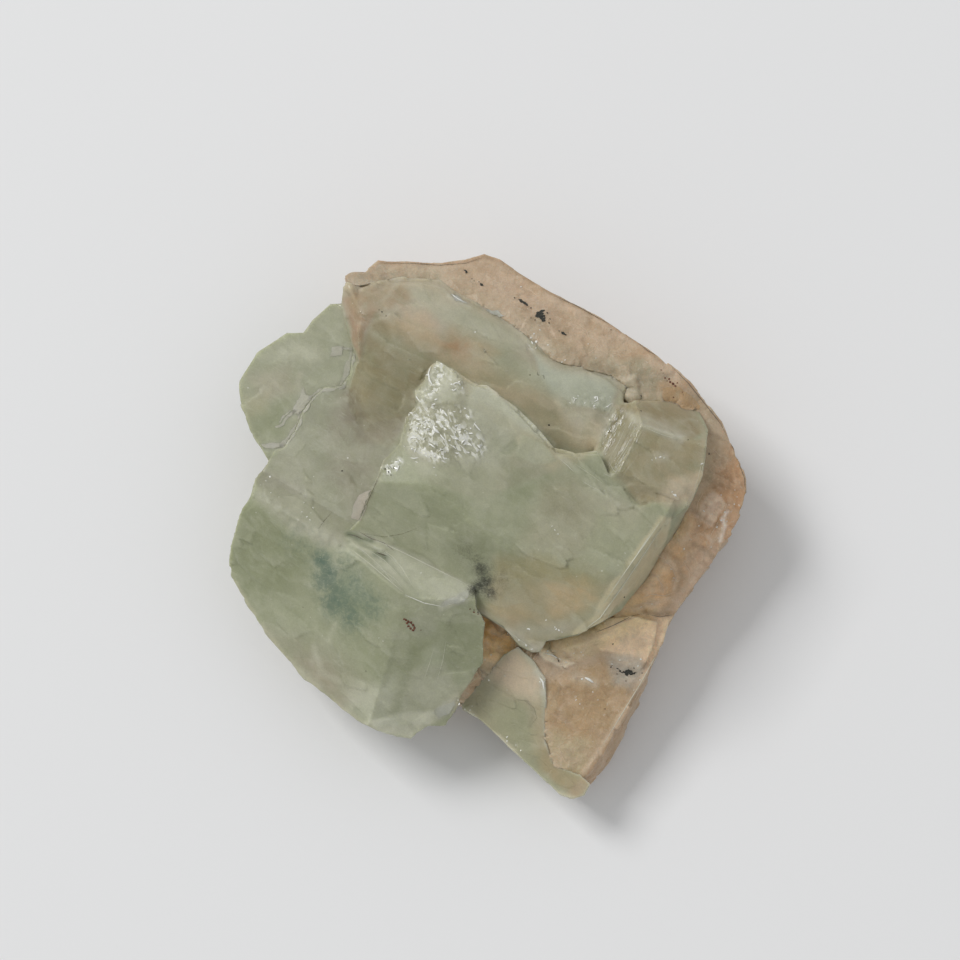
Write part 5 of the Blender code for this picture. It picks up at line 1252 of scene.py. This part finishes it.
def close_seams(surface):
    """Draws the rock up to the crystals that it holds, so that no slit shows between them."""
    crystals = ray_target([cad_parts[name] for name in CRYSTALS])
    for index in range(surface.count):
        place, normal, _, distance = crystals.find_nearest(surface.rest[index], SEAM_FAR)
        if place is not None:
            share = min(1.0, (SEAM_FAR - distance) / (SEAM_FAR - SEAM_NEAR))
            goal = np.array(place - normal * SEAM_DEPTH)
            surface.points[index] += (goal - surface.points[index]) * share


def peach_matrix():
    """The rock: chipped, stepped and rough, flat underneath."""
    piece = fine_copy("peach_matrix", MATRIX_FILL, MATRIX_MELTS)
    surface = Surface(piece.data)
    turn = surface.convexity()
    edge = soft(surface.spread(turn, 6), 0.2, 0.8)
    valley = soft(-surface.spread(turn, 6), 0.14, 0.6)
    rough = layer(surface, [Stroke(None, 1.0, 4.5, [(486, 640), (500, 650)]),
                            Stroke(None, 0.8, 5.5, [(724, 470), (716, 520), (700, 560)])])
    surface.colour[:] = PEACH
    wall = soft(surface.facing, 0.45, 0.1)
    surface.paint(RUST_PEACH, 0.45 * wall)
    surface.paint(PALE_PEACH, 0.5 * soft(clouds(surface.rest, 7.0, 3, 51), 0.0, 1.0))
    surface.paint(RUST_PEACH, 0.4 * soft(clouds(surface.rest, 5.0, 3, 55), 0.1, 1.1))
    draw(surface, MATRIX_MARKS)
    near = nearness(surface, CRYSTALS, 4.0) * soft(surface.rest[:, 1], -2.0, 8.0)
    surface.paint(PALE_PEACH, 0.35 * edge * (1.0 - near))
    # creases painted darker: painted shade, kept off the rock beside the crystals
    surface.paint(RUST_PEACH, 0.25 * valley * (1.0 - near))
    surface.paint(CONTACT, 0.55 * near)

    # relief: chips, less on what faces the eye and none at the rim, grain, and worn edges
    broken = chips(surface.rest, 3.4, 61)
    small = chips(surface.rest, 1.3, 67)
    # chip tones are painted light and shade: paler where a chip stands up, darker where it sinks
    surface.paint(PALE_PEACH, 0.24 * soft(broken, 0.2, 1.6) + 0.14 * soft(small, 0.1, 0.6))
    surface.paint(RUST_PEACH, 0.2 * soft(-broken, 0.2, 1.6) + 0.12 * soft(-small, 0.1, 0.6))
    rim = layer(surface, [Stroke(None, 0.85, 5.0, RIM)])
    calm = (0.35 + 0.65 * soft(surface.facing, 0.9, 0.3)) * (1.0 - rim)
    surface.lift(calm * ((0.1 + 0.1 * rough) * broken + 0.06 * small))
    surface.lift(0.025 * clouds(surface.rest, 1.9, 3, 63))
    surface.lift(rough * 0.5 * clouds(surface.rest, 1.1, 3, 65))
    surface.lift(-0.1 * edge * (1.0 - rim) * soft(clouds(surface.rest, 1.5, 2, 69), -0.3, 0.9))
    close_seams(surface)
    surface.keep("rough", rough)
    surface.keep("edge", edge)
    surface.write()
    return piece


# ---- finishes ----
def crystal_finish(name):
    """Cloudy crystal: painted tones, veils, cleavage streaks, speckled clouds and frost."""
    finish = Finish(name)
    colour = finish.tint()
    veil = finish.noise(5.5, 5.0, 1.0, 0.58)
    colour = finish.laid(colour, MILK, 0.26, veil, 0.46, 0.78)
    shade = finish.noise(6.5, 4.0, 0.8)
    colour = finish.laid(colour, DEEP_GREEN, 0.24, shade, 0.45, 0.74)
    patches = finish.between(finish.noise(5.0, 3.0, 0.5), 0.44, 0.66)
    streak = finish.streaks(0.3, 8.0, 2.0)
    bright = finish.between(streak, 0.56, 0.76) * patches
    colour = finish.mixed(0.15 * bright, colour, PALE_VEIN)
    wisp = finish.noise(2.4, 6.0, 1.8, 0.62)
    colour = finish.laid(colour, SAGE, 0.16, wisp, 0.53, 0.66)
    speck = finish.between(finish.grains(1.5), 0.075, 0.035)
    speck = speck * finish.between(finish.noise(3.0, 3.0), 0.5, 0.6)
    colour = finish.mixed(0.6 * speck, colour, PALE_VEIN)
    mottle = finish.noise(1.6, 6.0, 0.5, 0.74)
    fine = finish.noise(0.2, 2.0)
    colour = finish.scaled(colour, 0.66 + 0.36 * mottle + 0.32 * fine)

    # speckled clouds inside the lower cube and under the block
    blue = finish.drawn("blue_cloud")
    clump = finish.noise(0.75, 5.0, 0.6, 0.7)
    cloud_share = finish.between(clump + 0.34 * blue, 0.42, 0.88)
    colour = finish.mixed(0.82 * cloud_share * blue ** 0.7, colour, BLUE_GREEN)
    bubble = finish.between(finish.grains(0.55), 0.16, 0.08)
    colour = finish.mixed(0.45 * bubble * finish.between(blue, 0.3, 0.9), colour, MILK)
    dark = finish.drawn("dark_cloud")
    thread = finish.noise(0.55, 6.0, 1.6, 0.75)
    dark_share = finish.between(thread + 0.42 * dark, 0.6, 0.96)
    colour = finish.mixed(0.9 * dark_share * dark, colour, SOOT)

    # frost with bright facets painted as highlights, and the ribs of the right step, paled partly as painted
    # glints
    frost = finish.drawn("frost")
    striae = finish.drawn("striae")
    crumple, chance = finish.facets(0.42, 2.0, FROST_TURN)
    spark = finish.between(finish.between(chance, 0.56, 0.6) * frost, 0.25, 0.75)
    colour = finish.mixed(0.25 * frost, colour, MILK)
    colour = finish.mixed(0.75 * spark, colour, SPARK)
    ribs = finish.between(finish.streaks(0.32, 3.5, 3.0, RIB_TURN), 0.52, 0.66)
    colour = finish.mixed(0.6 * striae * ribs, colour, RIB_PALE)

    gloss = finish.between(finish.drawn("edge") + frost + striae, 0.2, 0.8)
    roughness = 0.44 + 0.16 * mottle - 0.34 * gloss
    height = 0.5 * mottle + 0.2 * fine + 0.4 * streak * patches
    normal = finish.bumped(height, 0.1, 0.7)
    normal = finish.bumped(crumple * frost, 0.38, 0.9, normal)
    normal = finish.bumped(ribs * striae, 0.14, 0.9, normal)
    return finish.shaded(
        Base_Color=colour, Roughness=roughness, Normal=normal, IOR=1.434, Transmission_Weight=0.15,
        Subsurface_Weight=0.55, Subsurface_Radius=(1.0, 1.0, 0.75), Subsurface_Scale=0.0018)


def matrix_finish(name):
    """Peach rock: painted tones, warm grains, pale flecks, painted glints where it is rough, and a slightly
    waxy surface.
    """
    finish = Finish(name)
    colour = finish.tint()
    cloudy = finish.noise(3.6, 5.0, 1.2, 0.6)
    colour = finish.laid(colour, PALE_PEACH, 0.34, cloudy, 0.44, 0.66)
    warm = finish.noise(2.6, 5.0, 1.6, 0.62)
    colour = finish.laid(colour, RUST_PEACH, 0.26, warm, 0.5, 0.68)
    grey = finish.noise(3.4, 4.0, 1.0)
    colour = finish.laid(colour, BUFF, 0.24, grey, 0.52, 0.7)
    fleck = finish.noise(0.55, 3.0, 0.8)
    colour = finish.laid(colour, CREAM, 0.35, fleck, 0.62, 0.72)
    stain = finish.noise(0.9, 5.0, 1.0, 0.66)
    colour = finish.laid(colour, COPPER, 0.2, stain, 0.64, 0.76)
    mottle = finish.noise(1.3, 6.0, 0.5, 0.76)
    fine = finish.noise(0.2, 2.0)
    colour = finish.scaled(colour, 0.64 + 0.36 * mottle + 0.36 * fine)
    rough = finish.drawn("rough")
    # painted glints: bright points laid in the rough parts
    gleam = finish.between(finish.noise(0.5, 3.0, 1.0), 0.56, 0.68)
    colour = finish.mixed(0.45 * rough * gleam, colour, GLEAM)
    roughness = 0.3 + 0.2 * mottle - 0.12 * rough * gleam
    height = 0.6 * finish.noise(1.9, 5.0, 0.8, 0.6) + 0.5 * mottle + 0.3 * fine
    normal = finish.bumped(height, 0.24, 0.9)
    facet, _ = finish.facets(1.9, 1.5, CLEAVAGE_TURN)
    normal = finish.bumped(facet, 0.5, 0.9, normal)
    splinter, _ = finish.facets(0.6, 1.8, RIB_TURN)
    normal = finish.bumped(splinter, 0.15, 0.9, normal)
    return finish.shaded(
        Base_Color=colour, Roughness=roughness, Normal=normal, IOR=1.52, Subsurface_Weight=0.35,
        Subsurface_Radius=(1.0, 0.65, 0.45), Subsurface_Scale=0.0016)


def grain_finish(name, tone, pale, roughness):
    """A small grain: two tones that change over a fraction of a millimetre."""
    finish = Finish(name)
    colour = finish.mixed(finish.between(finish.noise(0.2, 2.0), 0.35, 0.65), tone, pale)
    return finish.shaded(Base_Color=colour, Roughness=roughness, IOR=1.5)


# ---- grains, glints and hairlines ----
# a thin sliver: how many on a square millimetre, its sizes, and how far it tilts, in radians
Sliver = namedtuple("Sliver", "density length width thickness sway")
FROST_SLIVER = Sliver(1.0, 0.7, 0.26, 0.1, 0.6)
RIB_SLIVER = Sliver(1.6, 1.1, 0.08, 0.06, 0.22)


class Growth(Tree):
    """A tree of geometry nodes that turns a plain mesh into grains or lines."""

    def __init__(self, name):
        self.group = bpy.data.node_groups.new(name, "GeometryNodeTree")
        super().__init__(self.group)
        self.sizes = {}
        for way in ("INPUT", "OUTPUT"):
            self.group.interface.new_socket("Geometry", in_out=way, socket_type="NodeSocketGeometry")

    def size(self, name, value):
        """A named input of the tree, with its value."""
        socket = self.group.interface.new_socket(name, in_out="INPUT", socket_type="NodeSocketFloat")
        socket.default_value = value
        self.sizes[socket.identifier] = value
        return name

    def start(self):
        """The plain mesh that the tree works on."""
        self.entry = self.nodes.new("NodeGroupInput")
        return Value(self, self.entry.outputs["Geometry"])

    def sized(self, name):
        """The value of a named input."""
        return Value(self, self.entry.outputs[name])

    def stored(self, name):
        """A number that was stored at each point of the plain mesh."""
        return self.node("GeometryNodeInputNamedAttribute", {"data_type": "FLOAT"}, {"Name": name})

    def finish(self, shape, material):
        """Realizes what was made, gives it its material, and ends the tree."""
        real = self.node("GeometryNodeRealizeInstances", {}, {"Geometry": shape})
        coated = self.node("GeometryNodeSetMaterial", {}, {"Geometry": real, "Material": material})
        self.node("NodeGroupOutput", {}, {"Geometry": coated})

    def grow(self, name, mesh):
        """Runs the tree on a mesh, and gives back a plain object with the result."""
        seedling = add_object(name + "_seed", mesh)
        modifier = seedling.modifiers.new("growth", "NODES")
        modifier.node_group = self.group
        for identifier, value in self.sizes.items():
            modifier[identifier] = value
        graph = bpy.context.evaluated_depsgraph_get()
        grown = bpy.data.meshes.new_from_object(seedling.evaluated_get(graph))
        bpy.data.objects.remove(seedling)
        grown.name = name
        return add_object(name, grown)


def grains(name, places, material, flatness, sink, seed):
    """Small irregular grains at places in the view, sunk a little into what carries them."""
    corners, sizes = [], []
    for across, down, size in places:
        hit = spot(across, down, SURFACES)
        if hit is not None:
            corners.append((hit + ray(across, down) * size * sink) * MM)
            sizes.append(size * MM)
    mesh = bpy.data.meshes.new(name + "_places")
    mesh.from_pydata(corners, [], [])
    mesh.attributes.new("grain_size", "FLOAT", "POINT").data.foreach_set("value", sizes)

    tree = Growth(name)
    tree.size("Flatness", flatness)
    tree.size("Unevenness", 0.55)
    seeds = tree.start()
    ball = tree.node("GeometryNodeMeshIcoSphere", {}, {"Radius": 0.5, "Subdivisions": 2})
    bumps = tree.node("ShaderNodeTexNoise", {}, {"Scale": 2.6, "Detail": 2.0}, out="Color")
    shift = tree.scaled(tree.vector("SUBTRACT", bumps, (0.5, 0.5, 0.5)), tree.sized("Unevenness"))
    rock = tree.node("GeometryNodeSetPosition", {}, {"Geometry": ball, "Offset": shift})
    spin = tree.node("FunctionNodeRandomValue", {"data_type": "FLOAT_VECTOR"}, {
        "Min": (0.0, 0.0, 0.0), "Max": (FULL_TURN,) * 3, "Seed": seed})
    squash = tree.node("ShaderNodeCombineXYZ", {}, {"X": 1.0, "Y": 0.8, "Z": tree.sized("Flatness")})
    placed = tree.node("GeometryNodeInstanceOnPoints", {}, {
        "Points": seeds, "Instance": rock, "Rotation": spin,
        "Scale": tree.scaled(squash, tree.stored("grain_size"))})
    tree.finish(placed, material)
    return tree.grow(name, mesh)


def flakes(name, ground_piece, layer_name, material, sliver, turn, seed):
    """Slivers that lie on a piece along a direction, thickest where one of its layers is strong."""
    tree = Growth(name)
    tree.size("Density", sliver.density / MM ** 2)
    tree.size("Length", sliver.length * MM)
    tree.size("Width", sliver.width * MM)
    tree.size("Thickness", sliver.thickness * MM)
    ground = tree.start()
    strength = tree.stored(layer_name)
    scattered = tree.node("GeometryNodeDistributePointsOnFaces", {}, {
        "Mesh": ground, "Density": strength * strength * tree.sized("Density"), "Seed": seed})
    facing = Value(tree, scattered.socket.node.outputs["Rotation"])
    along = tree.node("FunctionNodeAlignRotationToVector", {"axis": "X", "pivot_axis": "Z"}, {
        "Rotation": facing, "Vector": (math.cos(turn), math.sin(turn), 0.0)})
    tilt = tree.node("FunctionNodeRandomValue", {"data_type": "FLOAT_VECTOR"}, {
        "Min": (-sliver.sway,) * 3, "Max": (sliver.sway,) * 3, "Seed": seed + 1})
    turned = tree.node("FunctionNodeRotateRotation", {"rotation_space": "LOCAL"}, {
        "Rotation": along, "Rotate By": tree.node("FunctionNodeEulerToRotation", {}, {"Euler": tilt})})
    splinter = tree.node("GeometryNodeMeshCylinder", {}, {"Vertices": 5, "Radius": 0.5, "Depth": 1.0})
    sizes = tree.node("ShaderNodeCombineXYZ", {}, {
        "X": tree.sized("Length"), "Y": tree.sized("Width"), "Z": tree.sized("Thickness")})
    share = tree.node("FunctionNodeRandomValue", {"data_type": "FLOAT"}, {
        2: 0.35, 3: 1.0, "Seed": seed + 2}, out=1)
    placed = tree.node("GeometryNodeInstanceOnPoints", {}, {
        "Points": scattered, "Instance": splinter, "Rotation": turned,
        "Scale": tree.scaled(sizes, share)})
    tree.finish(placed, material)
    return tree.grow(name, ground_piece.data)


def hairlines(name, groups, material, flatness):
    """Fine ridges and cracks that follow the surface along paths in the view."""
    corners, edges, widths = [], [], []
    for width, path in sum(groups.values(), []):
        before = None
        for start, end in zip(path, path[1:]):
            count = max(2, round(math.dist(start, end) / HAIR_STEP))
            for step in range(count + (end == path[-1])):
                hit = spot(*part_way(start, end, step / count), SURFACES)
                if hit is None:
                    before = None
                    continue
                corners.append(hit * MM)
                widths.append(width * MM)
                if before is not None:
                    edges.append((before, len(corners) - 1))
                before = len(corners) - 1
    mesh = bpy.data.meshes.new(name + "_paths")
    mesh.from_pydata(corners, edges, [])
    mesh.attributes.new("line_width", "FLOAT", "POINT").data.foreach_set("value", widths)

    tree = Growth(name)
    tree.size("Width", 1.0)
    path = tree.start()
    curve = tree.node("GeometryNodeSetCurveNormal", {"mode": "Z_UP"}, {
        "Curve": tree.node("GeometryNodeMeshToCurve", {}, {"Mesh": path})})
    along = tree.node("GeometryNodeSplineParameter")
    off_middle = tree.node("ShaderNodeMath", {"operation": "ABSOLUTE"}, {0: 2.0 * along - 1.0})
    wander = 0.5 + tree.node("ShaderNodeTexNoise", {}, {"Scale": 900.0, "Detail": 2.0})
    radius = tree.stored("line_width") * (1.0 - off_middle ** 3.0) * wander * tree.sized("Width")
    circle = tree.node("GeometryNodeCurvePrimitiveCircle", {}, {"Resolution": 8, "Radius": 1.0})
    ring = tree.node("GeometryNodeTransform", {}, {"Geometry": circle, "Scale": (flatness, 1.0, 1.0)})
    tube = tree.node("GeometryNodeCurveToMesh", {}, {
        "Curve": curve, "Profile Curve": ring, "Scale": radius, "Fill Caps": True})
    tree.finish(tube, material)
    return tree.grow(name, mesh)


def broken(outline, rounds, amount, seed):
    """An outline whose sides are broken, over and over, a little to either side."""
    corners = [np.array(corner, float) for corner in outline]
    for level in range(rounds):
        chances = scatter(np.stack([np.arange(len(corners)), np.full(len(corners), level),
                                    np.full(len(corners), seed)], axis=1), 91)
        finer = []
        for chance, start, end in zip(chances, corners, corners[1:] + corners[:1]):
            side = end - start
            finer += [start, (start + end) / 2 + np.array([-side[1], side[0]]) * chance * amount]
        corners = finer
    return corners


def inside(corners, point):
    """Whether a pixel lies inside a ring of corners."""
    odd = False
    for start, end in zip(corners, corners[1:] + corners[:1]):
        if (start[1] > point[1]) != (end[1] > point[1]):
            odd ^= point[0] < start[0] + (point[1] - start[1]) / (end[1] - start[1]) * (end[0] - start[0])
    return odd


def plates(name, table, material):
    """Thin closed plates, cut to ragged outlines and laid on whatever the rays meet."""
    corners, faces, tones = [], [], []
    for number, plate in enumerate(table.values()):
        ring = broken(plate.outline, 2, plate.ragged, number)
        low, high = np.min(ring, axis=0), np.max(ring, axis=0)
        flat = [Vector(corner) for corner in ring]
        for across in np.arange(low[0], high[0], PLATE_GRID):
            for down in np.arange(low[1], high[1], PLATE_GRID):
                if inside(ring, (across, down)):
                    flat.append(Vector((across, down)))
        made = delaunay_2d_cdt(flat, [], [list(range(len(ring)))], 1, 1e-4)
        hits = [spot(*point, SURFACES) for point in made[0]]
        shares = [(point[0] - low[0]) / (high[0] - low[0]) for point in made[0]]
        walls, start = set(), len(corners)
        for point, hit, share in zip(made[0], hits, shares):
            toward = -ray(*point)
            place = hit if hit is not None else EYE
            rise = plate.rise * (PLATE_HINGE + (1.0 - PLATE_HINGE) * share)
            corners += [place + toward * rise, place - toward * PLATE_UNDER]
            tones += [plate.tone] * 2
        for triangle in made[2]:
            depths = [(hits[index] - EYE).length if hits[index] is not None else 0.0 for index in triangle]
            if max(depths) - min(depths) > PLATE_JUMP:
                continue
            first, second, third = (start + 2 * index for index in reversed(triangle))
            faces += [(first, second, third), (third + 1, second + 1, first + 1)]
            for side in ((first, second), (second, third), (third, first)):
                if side[::-1] in walls:
                    walls.remove(side[::-1])
                else:
                    walls.add(side)
        faces += [(end, begin, begin + 1, end + 1) for begin, end in walls]
    mesh = bpy.data.meshes.new(name)
    mesh.from_pydata([corner * MM for corner in corners], [], faces)
    layer_of_tones = mesh.attributes.new("tint", "FLOAT_COLOR", "POINT")
    layer_of_tones.data.foreach_set("color", np.array([(*tone, 1.0) for tone in tones]).ravel())
    bm = bmesh.new()
    bm.from_mesh(mesh)
    bmesh.ops.delete(bm, geom=[vertex for vertex in bm.verts if not vertex.link_faces], context="VERTS")
    bm.to_mesh(mesh)
    bm.free()
    mesh.materials.append(material)
    return add_object(name, mesh)


# ---- the stage ----
def add_floor():
    """A plain pale floor under the specimen."""
    quarters = ((-1, -1), (1, -1), (1, 1), (-1, 1))
    corners = [(FLOOR_HALF * x, FLOOR_HALF * y, FLOOR_TOP) for x, y in quarters]
    mesh = bpy.data.meshes.new("floor")
    mesh.from_pydata(corners, [], [(0, 1, 2, 3)])
    finish = Finish("floor_paper")
    mesh.materials.append(finish.shaded(Base_Color=FLOOR_COLOUR, Roughness=0.85, IOR=1.3))
    return add_object("floor", mesh)


def add_light():
    """A pale sky all round and one large window at the upper left."""
    world = bpy.data.worlds.new("sky")
    world.use_nodes = True
    sky = world.node_tree.nodes["Background"]
    sky.inputs["Color"].default_value = (*SKY_COLOUR, 1.0)
    sky.inputs["Strength"].default_value = SKY_POWER
    bpy.context.scene.world = world
    data = bpy.data.lights.new("window", "AREA")
    data.size = KEY_SIZE * MM
    data.energy = KEY_POWER
    window = add_object("window", data)
    toward = Vector(KEY_FROM).normalized()
    window.location = toward * KEY_DISTANCE * MM
    window.rotation_euler = toward.to_track_quat("Z", "Y").to_euler()


def add_camera():
    """The camera from whose view the marks are placed."""
    data = bpy.data.cameras.new("camera")
    data.lens = VIEW_LENS
    data.sensor_width = VIEW_SENSOR
    data.clip_start = CAMERA_CLIP
    camera = add_object("camera", data)
    camera.location = EYE * MM
    camera.rotation_euler = (VIEW_FROM_VERTICAL, 0.0, 0.0)
    bpy.context.scene.camera = camera


# ---- the specimen ----
green = green_crystals()
corner = corner_crystal()
matrix = peach_matrix()
green.data.materials.append(crystal_finish("green_crystals"))
corner.data.materials.append(crystal_finish("corner_crystal"))
matrix.data.materials.append(matrix_finish("peach_matrix"))
SURFACES = ray_target([green, corner, matrix])

soot_finish = grain_finish("soot", SOOT, SOOT_PALE, 0.85)
rust_finish = grain_finish("rust", RUST, RUST_WARM, 0.7)
soot = grains("soot_grains", SOOT_GRAINS, soot_finish, 0.7, 0.12, 5)
rust = grains("rust_grains", RUST_GRAINS, rust_finish, 0.7, 0.15, 6)
# white grains that stand in for glints: painted highlights
glints = grains("glints", PAINTED_GLINTS, grain_finish("painted_glint_grain", FLASH, FLASH_DIM, 0.12), 0.5, 0.1, 7)
# bright lines on the crystals' edges: partly painted highlights
ridge_finish = grain_finish("bright_edge", CRYSTAL_EDGE, MILK, 0.3)
ridges = hairlines("bright_hairlines", BRIGHT_HAIRS, ridge_finish, 0.6)
ledges = plates("crystal_plates", CREAM_PLATES, crystal_finish("crystal_plates"))
scales = plates("rock_plates", ROCK_PLATES, matrix_finish("rock_plates"))
blots = plates("soot_plates", SOOT_PLATES, grain_finish("soot_crust", SOOT, CRUST_PALE, 0.85))
# bright lines on the rock: partly painted highlights
fold_finish = grain_finish("rock_edge", ROCK_EDGE, PALE_PEACH, 0.3)
folds = hairlines("rock_hairlines", ROCK_HAIRS, fold_finish, 0.6)
cracks = hairlines("dark_hairlines", DARK_HAIRS, grain_finish("crack", CRACK, GRIME, 0.6), 0.6)
# white slivers and strokes that stand in for glints on the frost and the ribs: painted highlights
white = grain_finish("glint", FLASH, FLASH_DIM, 0.12)
frost = flakes("frost_slivers", green, "frost", white, FROST_SLIVER, CLEAVAGE_TURN, 31)
sparks = hairlines("white_hairlines", WHITE_HAIRS, white, 0.7)
ribs = flakes("rib_slivers", green, "striae", white, RIB_SLIVER, RIB_TURN, 37)

for piece, node in ((green, "green_crystals"), (corner, "corner_crystal"), (matrix, "peach_matrix")):
    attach(piece, "root")
    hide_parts(node)
for piece, slot in ((soot, "peach_matrix"), (rust, "peach_matrix"), (glints, "green_crystals"),
                    (ridges, "green_crystals"), (ledges, "green_crystals"), (cracks, "green_crystals"),
                    (scales, "peach_matrix"), (blots, "peach_matrix"), (folds, "peach_matrix"),
                    (frost, "green_crystals"), (ribs, "green_crystals"), (sparks, "green_crystals")):
    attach(piece, "root")

add_floor()
add_light()
add_camera()
bpy.context.scene.view_settings.view_transform = "Standard"
